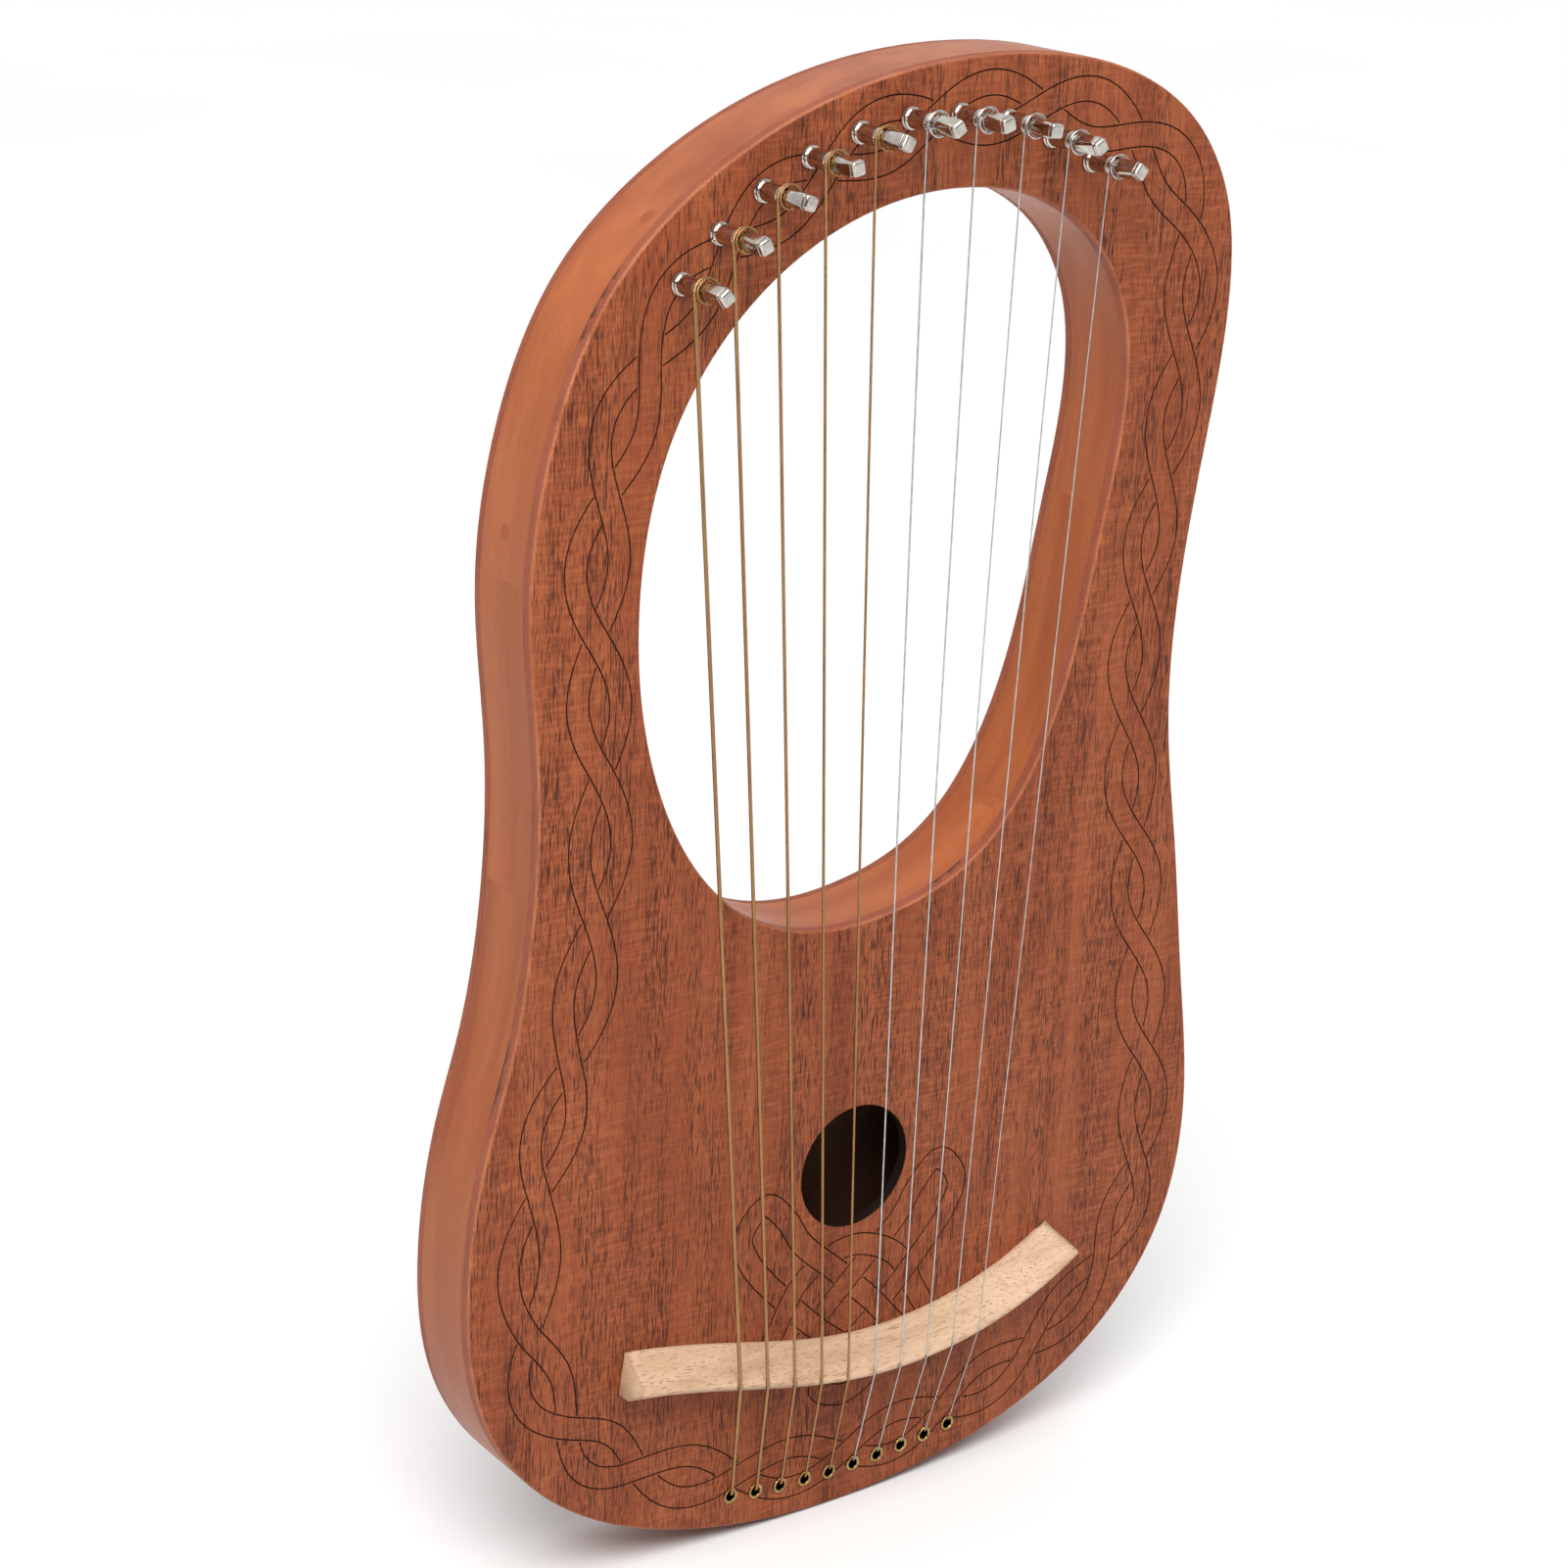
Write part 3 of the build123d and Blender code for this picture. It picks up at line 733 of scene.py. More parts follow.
@dataclass(frozen=True)
class WoundBronze(Finish):
    """Fine bronze wire wound round a core, seen as close ribs along the string."""

    bright: Colour = (0.50, 0.29, 0.125)
    dull: Colour = (0.25, 0.135, 0.055)

    def material(self) -> bpy.types.Material:
        """Build the material.

        Returns:
            The finished material.
        """
        bench = Bench("wound_bronze")
        ribs = bench.add("ShaderNodeTexWave", wave_type="BANDS", bands_direction="Z")
        ribs.inputs["Scale"].default_value = 1.0
        bench.join(bench.stretched((1.0, 1.0, 1100.0)), ribs.inputs["Vector"])
        bloom = bench.noise(bench.stretched((240.0, 240.0, 90.0)), 3.0)
        shade = bench.product(bench.total(ribs.outputs["Fac"], bloom), 0.5)
        bench.colour(bench.ramp(shade, (0.25, self.dull), (0.75, self.bright)))
        bench.roughness(bench.level(bloom, 0.3, 0.7, 0.20, 0.32))
        bench.relief(ribs.outputs["Fac"], 0.00005, 0.6)
        bench.constant(Metallic=1.0)
        return bench.material


NICKEL = Metal("nickel_plate", (0.62, 0.585, 0.54), (0.46, 0.42, 0.37), 0.05, 0.13)
BRASS = Metal("brass", (0.56, 0.38, 0.14), (0.28, 0.17, 0.06), 0.22, 0.42)
# The eyelets' bores are painted near black below the face as painted shade.
EYELET_BRASS = replace(BRASS, name="eyelet_brass", shade_beyond=FACE_Y - 0.0003)
STEEL = Metal("steel_wire", (0.56, 0.56, 0.55), (0.40, 0.40, 0.39), 0.18, 0.30, (2400.0, 2400.0, 60.0))


def place_piece(piece: bpy.types.Object, body: str, slot: Slot, *nodes: str) -> None:
    """Hang a finished piece on its body, hide the CAD nodes that it stands for and report it.

    Args:
        piece: The finished piece.
        body: The CAD body that it rides on.
        slot: The record's material slot; not used.
        nodes: CAD nodes that it stands for.
    """
    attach(piece, body)
    if nodes:
        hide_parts(*nodes)
    LOG.info("%s: %d faces", piece.name, len(piece.data.polygons))


# ---------------------------------------------------------------- engraving
@dataclass
class Ribbon:
    """A flat ribbon that follows a closed line on the face, in millimetres."""

    line: np.ndarray
    half_width: float
    normals: np.ndarray = field(init=False)
    shown: np.ndarray = field(init=False)

    def __post_init__(self) -> None:
        """Work out the side direction of every point, and show both edges."""
        along = np.roll(self.line, -1, axis=0) - np.roll(self.line, 1, axis=0)
        along /= np.linalg.norm(along, axis=1)[:, None]
        self.normals = np.stack([-along[:, 1], along[:, 0]], axis=1)
        self.shown = np.ones((2, len(self.line)), bool)

    def edge(self, side: int) -> np.ndarray:
        """The points of one edge, side 0 or side 1."""
        return self.line + self.normals * (self.half_width if side else -self.half_width)

    def stretch(self, middle: int, reach: int) -> np.ndarray:
        """The indices within reach of a point, round the closed line."""
        return np.arange(middle - reach, middle + reach + 1) % len(self.line)


@dataclass
class Engraving:
    """The twisted border and the knot below the sound hole, cut into the face."""

    step: float = 0.3
    outline_step: float = 1.0
    keep_every: int = 5
    search_every: int = 6
    smoothing: int = 12
    points_a_corner: int = 24
    fold_slack: float = 0.1
    flat_within: float = 0.01
    tangent_reach: int = 3
    least_apart: int = 3
    reach: float = 13.0
    cut_radius: float = 0.24
    clear: float = 0.5
    swing: float = 6.3
    border_half_width: float = 3.25
    knot_half_width: float = 3.3
    start_x: float = 2.0
    centre_z: float = 205.0
    # Degrees clockwise from the bottom, and the band's distance from the outline.
    insets: tuple[tuple[float, float], ...] = (
        (0.0, 14.7), (34.6, 18.0), (90.0, 18.5), (151.0, 19.0), (171.0, 16.0), (180.0, 13.3),
        (188.7, 13.3), (210.7, 15.0), (246.8, 14.5), (315.0, 17.0), (360.0, 14.7),
    )
    # Share of the way round, clockwise from the bottom crossing, and crossings passed so far.
    twist: tuple[tuple[float, float], ...] = (
        (0.0, 0), (0.037, 1), (0.072, 2), (0.102, 3), (0.135, 4), (0.175, 5), (0.210, 6), (0.2485, 7),
        (0.2865, 8), (0.322, 9), (0.357, 10), (0.694, 20), (0.728, 21), (0.763, 22), (0.797, 23),
        (0.832, 24), (0.867, 25), (0.898, 26), (0.932, 27), (0.965, 28), (1.0, 29),
    )
    knot: tuple[tuple[float, float], ...] = (
        (-30, 101.4), (-22.5, 95), (-17, 86.5), (-4, 74.5), (9, 62), (19, 51), (25.5, 47), (28.5, 53),
        (24, 62), (16, 75), (0, 81.5), (-16, 75), (-24, 62), (-28.5, 53), (-25.5, 47), (-19, 51),
        (-9, 62), (4, 74.5), (17, 86.5), (22.5, 95), (30, 101.4), (37.2, 93), (34, 84), (22, 70),
        (10, 58), (-4, 46), (-9, 39), (0, 34.5), (9, 39), (4, 46), (-10, 58), (-22, 70), (-34, 84),
        (-37.2, 93),
    )

    def closed_by_length(self, points: np.ndarray, step: float) -> np.ndarray:
        """Points at an even spacing round a closed line.

        Args:
            points: The closed line's corners.
            step: The spacing.

        Returns:
            The evenly spaced points.
        """
        ring = np.vstack([points, points[:1]])
        lengths = np.r_[0.0, np.cumsum(np.linalg.norm(np.diff(ring, axis=0), axis=1))]
        count = int(round(lengths[-1] / step))
        at = np.arange(count) * lengths[-1] / count
        return np.stack([np.interp(at, lengths, ring[:, 0]), np.interp(at, lengths, ring[:, 1])], axis=1)

    def rounded(self, corners: np.ndarray) -> np.ndarray:
        """A smooth closed curve through corners.

        Args:
            corners: The points that the curve passes.

        Returns:
            Many points along it.
        """
        count = len(corners)
        out = []
        for index in range(count):
            p0, p1, p2, p3 = (corners[(index + offset) % count] for offset in (-1, 0, 1, 2))
            gaps = [np.linalg.norm(b - a) ** 0.5 for a, b in ((p0, p1), (p1, p2), (p2, p3))]
            t0, t1, t2, t3 = np.cumsum([0.0] + gaps)
            for t in np.linspace(t1, t2, self.points_a_corner, endpoint=False):
                a1 = (t1 - t) / (t1 - t0) * p0 + (t - t0) / (t1 - t0) * p1
                a2 = (t2 - t) / (t2 - t1) * p1 + (t - t1) / (t2 - t1) * p2
                a3 = (t3 - t) / (t3 - t2) * p2 + (t - t2) / (t3 - t2) * p3
                b1 = (t2 - t) / (t2 - t0) * a1 + (t - t0) / (t2 - t0) * a2
                b2 = (t3 - t) / (t3 - t1) * a2 + (t - t1) / (t3 - t1) * a3
                out.append((t2 - t) / (t2 - t1) * b1 + (t - t1) / (t2 - t1) * b2)
        return np.array(out)

    def outline(self, board: bpy.types.Object) -> np.ndarray:
        """The board's outer edge, clockwise from the bottom, in design millimetres.

        Args:
            board: The welded board, before it is cut.

        Returns:
            Evenly spaced points.
        """
        mesh = board.data
        places = np.array([vertex.co for vertex in mesh.vertices]) / MM
        back = set(np.where(places[:, 1] > places[:, 1].max() - self.flat_within)[0])
        uses: dict[tuple[int, int], int] = {}
        for polygon in mesh.polygons:
            if back.issuperset(polygon.vertices):
                for edge in polygon.edge_keys:
                    uses[edge] = uses.get(edge, 0) + 1
        beside: dict[int, list[int]] = {}
        for (first, second), count in uses.items():
            if count == 1:
                beside.setdefault(first, []).append(second)
                beside.setdefault(second, []).append(first)
        start = int(min(beside, key=lambda index: places[index, 2]))
        ring = [start, min(beside[start], key=lambda index: places[index, 0])]
        while ring[-1] != start:
            onward = [index for index in beside[ring[-1]] if index != ring[-2]]
            ring.append(onward[0])
        flat = places[ring[:-1]][:, [0, 2]]
        flat[:, 1] -= LOWEST_Z / MM
        return self.closed_by_length(flat, self.outline_step)

    def band(self, board: bpy.types.Object) -> np.ndarray:
        """The line that the border twists about, from the bottom crossing.

        Args:
            board: The welded board, before it is cut.

        Returns:
            Evenly spaced points of the closed line.
        """
        ring = self.outline(board)
        along = np.roll(ring, -self.tangent_reach, axis=0) - np.roll(ring, self.tangent_reach, axis=0)
        along /= np.linalg.norm(along, axis=1)[:, None]
        inward = np.stack([along[:, 1], -along[:, 0]], axis=1)
        angle = np.degrees(np.arctan2(-ring[:, 0], self.centre_z - ring[:, 1])) % 360.0
        stations, depths = np.array(self.insets).T
        line = ring + inward * np.interp(angle, stations, depths)[:, None]
        low = np.where(line[:, 1] < self.centre_z / 2)[0]
        first = low[np.argmin(np.abs(line[low, 0] - self.start_x))]
        line = np.roll(line, -first, axis=0)
        for _ in range(self.smoothing):
            line = (np.roll(line, 1, axis=0) + line + np.roll(line, -1, axis=0)) / 3
        return self.closed_by_length(line, self.step)

    def border(self, board: bpy.types.Object) -> Ribbon:
        """The one strand that goes twice round the border and twists with itself.

        Args:
            board: The welded board, before it is cut.

        Returns:
            The strand.
        """
        middle = self.band(board)
        ribbon = Ribbon(middle, 0.0)
        shares, passed = np.array(self.twist).T
        phase = np.interp(np.arange(len(middle)) / len(middle), shares, passed) * math.pi
        wave = (self.swing * np.sin(phase))[:, None] * ribbon.normals
        twice = np.vstack([middle + wave, middle - wave])
        # Start between two crossings, so that none lies on the seam.
        twice = np.roll(twice, -len(middle) // int(2 * passed[-1]), axis=0)
        return Ribbon(self.closed_by_length(twice, self.step), self.border_half_width)

    def meetings(self, first: Ribbon, second: Ribbon) -> list[tuple[int, int]]:
        """Where two ribbons' centre lines cross.

        Args:
            first: One ribbon.
            second: The other ribbon, or the same one.

        Returns:
            The index on each ribbon at every crossing, in order along the first.
        """
        skip = self.search_every
        p, q = first.line[::skip], second.line[::skip]
        r, s = np.roll(p, -1, axis=0) - p, np.roll(q, -1, axis=0) - q
        cross = r[:, None, 0] * s[None, :, 1] - r[:, None, 1] * s[None, :, 0]
        cross[cross == 0] = NEARLY_PARALLEL
        d = q[None, :, :] - p[:, None, :]
        t = (d[..., 0] * s[None, :, 1] - d[..., 1] * s[None, :, 0]) / cross
        u = (d[..., 0] * r[:, None, 1] - d[..., 1] * r[:, None, 0]) / cross
        hits = np.argwhere((t >= 0) & (t < 1) & (u >= 0) & (u < 1))
        if first is second:
            apart = np.abs(hits[:, 0] - hits[:, 1])
            apart = np.minimum(apart, len(p) - apart)
            hits = hits[(apart > self.least_apart) & (hits[:, 0] < hits[:, 1])]
        return [(int((i + t[i, j]) * skip), int((j + u[i, j]) * skip)) for i, j in hits]

    def pass_under(self, under: Ribbon, at: int, over: Ribbon, over_at: int) -> None:
        """Hide a ribbon's edges where another passes over it.

        Args:
            under: The ribbon below.
            at: Where it is crossed.
            over: The ribbon above.
            over_at: Where that one crosses.
        """
        reach = int(self.reach / self.step)
        mine = under.stretch(at, reach)
        theirs = over.line[over.stretch(over_at, reach)]
        for side in (0, 1):
            points = under.edge(side)[mine]
            near = np.linalg.norm(points[:, None] - theirs[None], axis=2).min(axis=1)
            under.shown[side, mine[near < over.half_width + self.clear]] = False

    def trim_corners(self, ribbon: Ribbon) -> None:
        """Hide the part of an inner edge that a tight bend folds over itself.

        Args:
            ribbon: The ribbon to trim.
        """
        reach = int(self.reach / self.step)
        for side in (0, 1):
            edge = ribbon.edge(side)
            for index, point in enumerate(edge):
                near = np.linalg.norm(ribbon.line[ribbon.stretch(index, reach)] - point, axis=1).min()
                if near < ribbon.half_width - self.fold_slack:
                    ribbon.shown[side, index] = False

    def weave(self, board: bpy.types.Object) -> list[Ribbon]:
        """The border's strand and the knot, each passing over and under itself in turn.

        Args:
            board: The welded board, before it is cut.

        Returns:
            The two ribbons.
        """
        border = self.border(board)
        knot = Ribbon(
            self.closed_by_length(self.rounded(np.array(self.knot, float)), self.step), self.knot_half_width
        )
        for ribbon, first_under in ((border, 0), (knot, 1)):
            visits = []
            for i, j in self.meetings(ribbon, ribbon):
                visits += [(i, j), (j, i)]
            for number, (at, other) in enumerate(sorted(visits)):
                if number % 2 == first_under:
                    self.pass_under(ribbon, at, ribbon, other)
            self.trim_corners(ribbon)
            LOG.info("engraving: %d crossings", len(visits) // 2)
        return [border, knot]

    def runs(self, ribbon: Ribbon) -> list[list[Vector]]:
        """The unbroken lines of a ribbon's two edges, on the face.

        Args:
            ribbon: The ribbon.

        Returns:
            The points of each line, in metres.
        """
        out = []
        for side in (0, 1):
            shown = ribbon.shown[side]
            gaps = np.where(~shown)[0]
            if not len(gaps):
                continue
            order = (np.arange(len(shown)) + gaps[0]) % len(shown)
            points = ribbon.edge(side)
            run: list[int] = []
            for index in (*order, gaps[0]):
                if shown[index]:
                    run.append(index)
                    continue
                if len(run) > 2 * self.keep_every:
                    kept = run[: -self.keep_every : self.keep_every] + [run[-1]]
                    out.append([self.on_face(*points[one]) for one in kept])
                run = []
        return out

    def on_face(self, x: float, z: float) -> Vector:
        """A point on the face from its design millimetres."""
        return Vector((x * MM, FACE_Y, z * MM + LOWEST_Z))

    def cut_into(self, board: bpy.types.Object) -> None:
        """Cut the lines of the pattern into a board.

        Args:
            board: The closed board, which has its own material already.
        """
        burnt = BurntLine().material()
        for number, ribbon in enumerate(self.weave(board)):
            lines = self.runs(ribbon)
            for turn in (0, 1):
                cutter = wire_along(f"graver_{number}_{turn}", lines[turn::2], self.cut_radius * MM, 1)
                cutter.data.materials.clear()
                cutter.data.materials.append(burnt)
                combine(board, cutter, "DIFFERENCE")


# ---------------------------------------------------------------- the body
@dataclass
class WoodenBody:
    """The hollow body: engraved face, back, walls, plugs and hidden braces."""

    # Each wall's CAD node, tone and grain. The tones are partly the pieces' own wood and partly painted
    # shade, lower on the arms and sides that take less light.
    walls: tuple[tuple[str, float, Grain], ...] = (
        ("pin_block", 1.0, Grain.UPRIGHT), ("left_arm", 0.985, Grain.UPRIGHT),
        ("right_arm", 0.95, Grain.UPRIGHT), ("left_side", 0.95, Grain.UPRIGHT),
        ("right_side", 0.96, Grain.UPRIGHT), ("tail_block", 1.0, Grain.ACROSS),
        ("crossbar", 1.04, Grain.ACROSS),
    )
    arch_gloss: float = 0.28
    grain_shift: float = 3.7
    plug_tone: float = 0.84
    back_inner_y: float = -0.0029
    hidden: tuple[str, ...] = ("soundboard_braces", "back_brace", "joint_dowels")

    def build_face(self) -> None:
        """Build the engraved soundboard."""
        board = welded_copy("soundboard")
        FaceMahogany().dress(board)
        Engraving().cut_into(board)
        soften(board)
        place_piece(board, "frame", Slot.FACE, "soundboard")

    def dress_back(self) -> None:
        """Finish the back board, whose bare inner face is painted dark: painted shade inside the closed
        body.
        """
        FaceMahogany(flat_y=0.0, shaded_beyond=self.back_inner_y).dress(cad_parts["back_board"])
        LOG.info("back_board: dressed")

    def dress_walls(self) -> None:
        """Finish the solid pieces between the boards, each a little apart in tone, partly as painted shade.
        """
        for number, (node, tone, grain) in enumerate(self.walls):
            gloss = self.arch_gloss if node == "pin_block" else WallMahogany.gloss
            finish = WallMahogany(tone=tone, grain=grain, shift=number * self.grain_shift, gloss=gloss)
            finish.dress(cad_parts[node])
            LOG.info("%s: dressed", node)

    def dress_plugs(self) -> None:
        """Finish the round plugs, whose end grain is darker than the walls."""
        WallMahogany(tone=self.plug_tone, grain=Grain.ACROSS).dress(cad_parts["side_plugs"])
        LOG.info("side_plugs: dressed")

    def dress_hidden(self) -> None:
        """Give the inner braces and dowels their wood."""
        braces = Beech(light=(0.74, 0.56, 0.36), dark=(0.62, 0.43, 0.25))
        dowels = Beech(grain=Grain.UPRIGHT)
        for node in self.hidden:
            finish = dowels if node == "joint_dowels" else braces
            finish.dress(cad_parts[node])
            LOG.info("%s: dressed", node)

    def build(self) -> None:
        """Build the whole body."""
        self.build_face()
        self.dress_back()
        self.dress_walls()
        self.dress_plugs()
        self.dress_hidden()


@dataclass
class Bridge:
    """The curved beech stick under the strings."""

    smooth: float = 40.0

    def build(self) -> None:
        """Build the bridge."""
        stick = welded_copy("bridge")
        Beech().dress(stick)
        soften(stick, self.smooth)
        place_piece(stick, "frame", Slot.BEECH, "bridge")


@dataclass
class TailFittings:
    """Brass eyelets in the face, ferrules in the back and the strings' ball ends."""

    nodes: tuple[str, ...] = ("string_eyelets", "string_ferrules", "ball_ends")
    smooth: float = 40.0

    def build(self) -> None:
        """Build the three sets."""
        for node in self.nodes:
            piece = welded_copy(node)
            (EYELET_BRASS if node == "string_eyelets" else BRASS).dress(piece)
            soften(piece, self.smooth)
            place_piece(piece, "frame", Slot.BRASS, node)


# ---------------------------------------------------------------- the pins
@dataclass
class TuningPins:
    """Ten nickel pins: ringed collar, round shaft, tapered square head, rounded nub."""

    shaft: float = 2.5
    collar: float = 2.9
    buried: float = 18.0
    hole_out: float = 11.3
    hole: float = 0.75
    square_out: float = 12.2
    nub_out: float = 18.9
    tip_out: float = 21.0
    head: float = 2.46
    head_edge: float = 0.06
    nub_edge: float = 0.85
    sides: int = 40
    hole_sides: int = 20
    overlap: float = 0.4
    proud: float = 1.001
    edge_angle: float = 25.0
    smooth: float = 30.0
    flats: float = 4.7
    tip_flats: float = 3.9
    nub: float = 3.85
    # How far each head is turned, in degrees.
    turns: tuple[float, ...] = (8, 20, 62, 34, 71, 12, 27, 50, 15, 80)

    def shaft_part(self) -> bpy.types.Object:
        """The turned shaft with its ringed collar, up to the square.

        Returns:
            The shaft.
        """
        profile = [
            (0, self.buried), (self.shaft - 0.3, self.buried), (self.shaft, self.buried - 0.3),
            (self.shaft, -0.3), (self.collar - 0.2, -0.3), (self.collar, -0.5), (self.collar, -0.95),
            (self.collar - 0.3, -1.15), (self.collar - 0.3, -1.4), (self.collar, -1.6),
            (self.collar, -2.1), (self.collar - 0.2, -2.3), (self.shaft, -2.35),
            (self.shaft, -8.9), (self.shaft - 0.08, -9.05), (self.shaft - 0.3, -9.45),
            (self.shaft - 0.3, -10.1), (self.shaft - 0.1, -10.4), (self.shaft - 0.1, -12.2),
            (self.shaft - 0.3, -12.6), (0, -12.6),
        ]
        return turned_piece("pin_shaft", [(r * MM, y * MM) for r, y in profile], self.sides)

    def head_part(self) -> bpy.types.Object:
        """The tapered square with its rounded corners.

        Returns:
            The head, which ends just inside the nub.
        """
        end = self.nub_out + self.overlap
        length = (end - self.square_out) * MM
        middle = (0, -(end + self.square_out) / 2 * MM, 0)
        deselect()
        bpy.ops.mesh.primitive_cylinder_add(
            vertices=self.sides, radius=self.head * MM, depth=length, location=middle,
            rotation=(math.pi / 2, 0, 0),
        )
        head = settle(bpy.context.object)
        deselect()
        bpy.ops.mesh.primitive_cone_add(
            vertices=4, radius1=self.tip_flats / math.sqrt(2) * MM, radius2=self.flats / math.sqrt(2) * MM,
            depth=length * self.proud, location=middle, rotation=(-math.pi / 2, 0, 0),
        )
        combine(head, settle(bpy.context.object), "INTERSECT")
        limit = math.radians(self.edge_angle)
        work_with(head, "BEVEL", width=self.head_edge * MM, segments=2, angle_limit=limit)
        return head

    def nub_part(self) -> bpy.types.Object:
        """The chamfered square nub on the end of the head.

        Returns:
            The nub.
        """
        long = self.tip_out - self.nub_out
        deselect()
        bpy.ops.mesh.primitive_cube_add(size=1.0)
        nub = bpy.context.object
        nub.scale = Vector((self.nub, long, self.nub)) * MM
        nub.location = (0, -(self.tip_out - long / 2) * MM, 0)
        nub.rotation_euler = (0, math.pi / 4, 0)
        settle(nub)
        work_with(nub, "BEVEL", width=self.nub_edge * MM, segments=3)
        return nub

    def model(self) -> bpy.types.Object:
        """One whole pin on the origin, with its string hole.

        Returns:
            The pin.
        """
        pin = self.shaft_part()
        combine(pin, self.head_part(), "UNION")
        combine(pin, self.nub_part(), "UNION")
        deselect()
        bpy.ops.mesh.primitive_cylinder_add(
            vertices=self.hole_sides, radius=self.hole * MM, depth=3 * self.collar * MM,
            location=(0, -self.hole_out * MM, 0), rotation=(0, math.pi / 2, 0),
        )
        combine(pin, settle(bpy.context.object), "DIFFERENCE")
        weld(pin)
        return pin

    def build(self) -> None:
        """Build ten pins, each on its own body with its head at its own turn."""
        model = self.model()
        for number, turn in enumerate(self.turns, start=1):
            node = f"tuning_pin_{number:02d}"
            low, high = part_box(node)
            pin = copy_of(model, f"{node}_nickel")
            place = Vector(((low.x + high.x) / 2, FACE_Y, (low.z + high.z) / 2))
            pin.data.transform(Matrix.Translation(place) @ Matrix.Rotation(math.radians(turn), 4, "Y"))
            NICKEL.dress(pin)
            soften(pin, self.smooth)
            place_piece(pin, f"pin_{number:02d}", Slot.NICKEL, node)
        bpy.data.objects.remove(model)


# ---------------------------------------------------------------- the strings
@dataclass
class Strings:
    """Ten strings: taut wire, the half turn onto each pin and the turns round it."""

    diameters: tuple[float, ...] = (1.1, 1.0, 0.9, 0.8, 0.7, 0.5, 0.45, 0.4, 0.36, 0.32)
    wound: int = 5
    pin_radius: float = 2.5
    side_gap: float = 0.3
    string_out: float = 11.3
    wrap_end: float = -75.0
    turns: tuple[float, ...] = (1.05, 1.1, 1.0, 1.15, 1.1, 1.2, 1.3, 1.2, 1.4, 1.3)
    thinned: float = 0.5
    loose: float = 0.65
    points_a_turn: int = 36
    wrap_points: int = 30
    wrap_slant: float = 0.12
    turn_gap: float = 20.0
    pitch: float = 1.15
    # The last share of the turns, over which the end tucks down under them, and how far.
    tuck_share: float = 0.07
    tuck: float = 0.7
    stub: float = 0.2
    smooth: float = 60.0

    def finish(self, index: int) -> Finish:
        """The metal of a string."""
        return WoundBronze() if index < self.wound else STEEL

    def slot(self, index: int) -> Slot:
        """The material slot of a string."""
        return Slot.BRONZE if index < self.wound else Slot.STEEL

    def axis(self, index: int) -> tuple[float, float]:
        """X and Z of a pin's axis."""
        low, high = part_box(f"tuning_pin_{index + 1:02d}")
        return (low.x + high.x) / 2, (low.z + high.z) / 2

    def winding(self, index: int, path: list[tuple[float, float, float]]) -> list[Vector]:
        """Points round a pin.

        Args:
            index: The string's number from 0.
            path: (degrees, radius, distance out of the face) in millimetres.

        Returns:
            The points in metres.
        """
        x, z = self.axis(index)
        return [
            Vector((
                x + radius * MM * math.cos(math.radians(degrees)),
                FACE_Y - out * MM,
                z + radius * MM * math.sin(math.radians(degrees)),
            ))
            for degrees, radius, out in path
        ]

    def wrap(self, index: int) -> bpy.types.Object:
        """The fixed part that runs from the taut string over the top of the pin.

        Args:
            index: The string's number from 0.

        Returns:
            The wire.
        """
        wire = self.diameters[index]
        radius = self.pin_radius + self.side_gap + wire / 2
        path = []
        for share in np.linspace(0.0, 1.0, self.wrap_points + 1):
            degrees = 180.0 + (self.wrap_end - 180.0) * share
            path.append((degrees, radius, self.string_out + self.wrap_slant * wire * share**2))
        thin = self.thinned if index < self.wound else 1.0
        runs = [self.winding(index, path)]
        return wire_along(f"string_wrap_{index + 1:02d}", runs, wire / 2 * MM, 2, thin)

    def coil(self, index: int) -> bpy.types.Object:
        """The turns on the pin, whose end tucks down under them.

        Args:
            index: The string's number from 0.

        Returns:
            The wire, with the stub that passes through the pin.
        """
        full = self.diameters[index]
        wire = full * self.thinned if index < self.wound else full
        turns = self.turns[index]
        radius = self.pin_radius + wire / 2
        first = self.string_out + full / 2 + self.side_gap + wire / 2
        path = []
        for share in np.linspace(0.0, 1.0, int(turns * self.points_a_turn) + 1):
            degrees = self.wrap_end - self.turn_gap - 360.0 * turns * share
            lift = self.loose * math.sin(share * math.pi)
            tuck = max(0.0, share - 1.0 + self.tuck_share) / self.tuck_share * wire * self.tuck
            path.append((degrees, radius + lift - tuck, first + wire * self.pitch * (turns - 1) * share))
        end = self.pin_radius + self.stub
        stub = [(0.0, -end, self.string_out), (0.0, end, self.string_out)]
        runs = [self.winding(index, path), self.winding(index, stub)]
        return wire_along(f"string_turns_{index + 1:02d}", runs, wire / 2 * MM, 2)

    def build(self) -> None:
        """Dress the taut strings and add the wire round every pin."""
        for index in range(len(self.diameters)):
            number = f"{index + 1:02d}"
            self.finish(index).dress(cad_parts[f"string_{number}"])
            wrap, coil = self.wrap(index), self.coil(index)
            for piece in (wrap, coil):
                self.finish(index).dress(piece)
                soften(piece, self.smooth)
            place_piece(wrap, "frame", self.slot(index))
            place_piece(coil, f"pin_{number}", self.slot(index), f"string_coil_{number}")


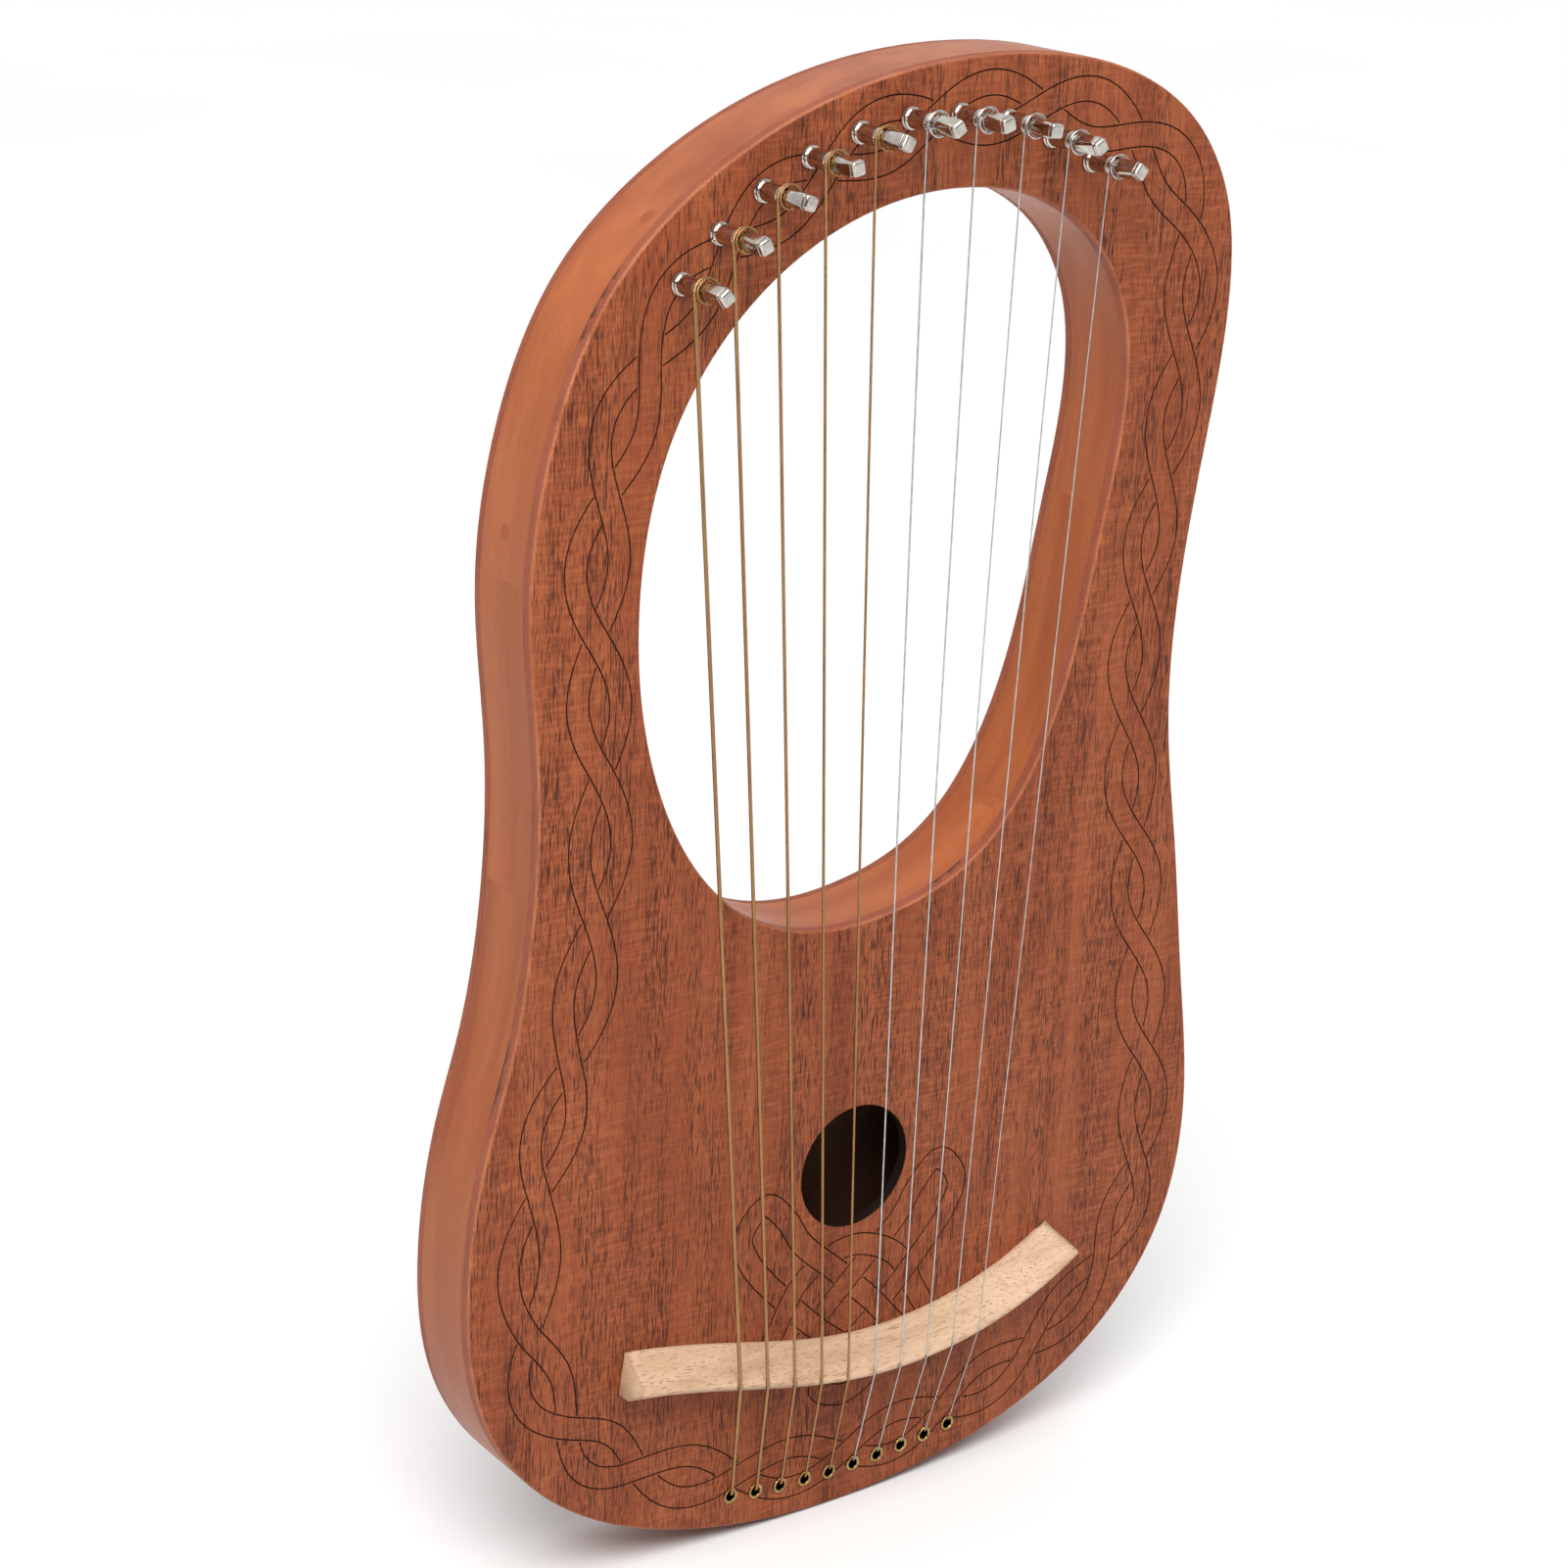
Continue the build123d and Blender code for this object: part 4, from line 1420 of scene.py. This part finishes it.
# ---------------------------------------------------------------- the studio
@dataclass
class Studio:
    """A pale floor, soft daylight and the camera."""

    target: Vector = field(default_factory=lambda: Vector((-0.0303, -0.027, 0.1177)))
    azimuth: float = -36.5
    elevation: float = 19.2
    roll: float = 2.6
    distance: float = 0.887
    lens: float = 77.87
    sensor: float = 36.0
    nearest: float = 0.01
    furthest: float = 100.0
    floor_size: float = 30.0
    floor_gap: float = 0.0003
    floor_dark: Colour = (0.74, 0.74, 0.74)
    floor_light: Colour = (0.76, 0.76, 0.76)
    sky: float = 1.0
    # Brightness of the room at three heights, from the bright horizon to straight above.
    heights: tuple[tuple[float, float], ...] = ((0.02, 1.0), (0.10, 0.66), (0.80, 1.0))
    # The room is dimmer in front: which way, over what span of turning towards it, and how dim.
    dim_towards: Triple = (-0.51, -0.71, 0.48)
    dim_from: float = 0.30
    dim_to: float = 0.88
    dimmed: float = 0.22
    sun: float = 2.4
    sun_back: Triple = (-0.28, -0.42, 0.86)
    sun_spread: float = 45.0
    lamp: float = 4.2
    lamp_size: float = 0.5
    lamp_place: Vector = field(default_factory=lambda: Vector((-0.50, -0.48, 0.72)))
    lamp_aim: Vector = field(default_factory=lambda: Vector((0.0, -0.02, 0.27)))

    def add_camera(self) -> None:
        """Set up the camera that looks down at the lyre from its left."""
        az, el, roll = (math.radians(angle) for angle in (self.azimuth, self.elevation, self.roll))
        back = Vector((math.sin(az) * math.cos(el), -math.cos(az) * math.cos(el), math.sin(el)))
        right = (-back).cross(Vector((0, 0, 1))).normalized()
        up = right.cross(-back)
        side = math.cos(roll) * right + math.sin(roll) * up
        top = -math.sin(roll) * right + math.cos(roll) * up
        data = bpy.data.cameras.new("camera")
        data.lens = self.lens
        data.sensor_width = self.sensor
        data.clip_start = self.nearest
        data.clip_end = self.furthest
        camera = bpy.data.objects.new("camera", data)
        turn = Matrix((side, top, back)).transposed().to_4x4()
        camera.matrix_world = Matrix.Translation(self.target + back * self.distance) @ turn
        bpy.context.scene.collection.objects.link(camera)
        bpy.context.scene.camera = camera

    def add_floor(self) -> None:
        """Lay the floor just under the lowest point."""
        deselect()
        bpy.ops.mesh.primitive_plane_add(size=self.floor_size, location=(0, 0, LOWEST_Z - self.floor_gap))
        floor = settle(bpy.context.object)
        floor.name = "floor"
        bench = Bench("floor_paper")
        mottle = bench.noise(bench.stretched((2.0, 2.0, 2.0)), 2.0)
        bench.colour(bench.ramp(mottle, (0.3, self.floor_dark), (0.7, self.floor_light)))
        bench.constant(Roughness=0.9, Specular_IOR_Level=0.1)
        floor.data.materials.append(bench.material)

    def add_room(self) -> None:
        """Light the room evenly, brighter from above and dimmer in front."""
        world = bpy.data.worlds.new("room")
        world.use_nodes = True
        room = Wiring(world.node_tree)
        where = room.add("ShaderNodeTexCoord").outputs["Generated"]
        height = room.along(where, "Z")
        ahead = room.add("ShaderNodeVectorMath", operation="DOT_PRODUCT")
        ahead.inputs[1].default_value = self.dim_towards
        room.join(where, ahead.inputs[0])
        dim = room.level(ahead.outputs["Value"], self.dim_from, self.dim_to, 1.0, self.dimmed)
        haze = room.level(height, self.heights[0][0], self.heights[1][0], 1.0, 0.0)
        stops = [(0.5 + rise / 2, (grey, grey, grey)) for rise, grey in self.heights]
        glow = room.add("ShaderNodeBackground")
        room.join(room.ramp(room.level(height, -1.0, 1.0), *stops), glow.inputs["Color"])
        room.join(room.product(room.maths("MAXIMUM", dim, haze), self.sky), glow.inputs["Strength"])
        room.join(glow.outputs[0], room.add("ShaderNodeOutputWorld").inputs[0])
        bpy.context.scene.world = world

    def hang_light(
        self, name: str, kind: str, energy: float, back: Vector, place: Vector
    ) -> bpy.types.Light:
        """Hang one light.

        Args:
            name: The light's name.
            kind: SUN or AREA.
            energy: Its strength.
            back: The way that its back faces.
            place: Where it hangs.

        Returns:
            The light, to set its size.
        """
        light = bpy.data.lights.new(name, kind)
        light.energy = energy
        holder = bpy.data.objects.new(name, light)
        turn = back.to_track_quat("Z", "Y").to_matrix().to_4x4()
        holder.matrix_world = Matrix.Translation(place) @ turn
        bpy.context.scene.collection.objects.link(holder)
        return light

    def add_lights(self) -> None:
        """Hang the wide key and the soft lamp over the arch."""
        key = self.hang_light("key", "SUN", self.sun, Vector(self.sun_back), Vector())
        key.angle = math.radians(self.sun_spread)
        back = self.lamp_place - self.lamp_aim
        lamp = self.hang_light("top_lamp", "AREA", self.lamp, back, self.lamp_place)
        lamp.shape = "DISK"
        lamp.size = self.lamp_size

    def build(self) -> None:
        """Set up the whole studio."""
        bpy.context.scene.view_settings.view_transform = "Standard"
        self.add_camera()
        self.add_floor()
        self.add_room()
        self.add_lights()


def main() -> None:
    """Build the studio, then every part of the lyre."""
    logging.basicConfig(level=logging.INFO, format="%(message)s")
    Studio().build()
    for part in (WoodenBody(), Bridge(), TailFittings(), TuningPins(), Strings()):
        part.build()


if __name__ == "__main__":
    main()
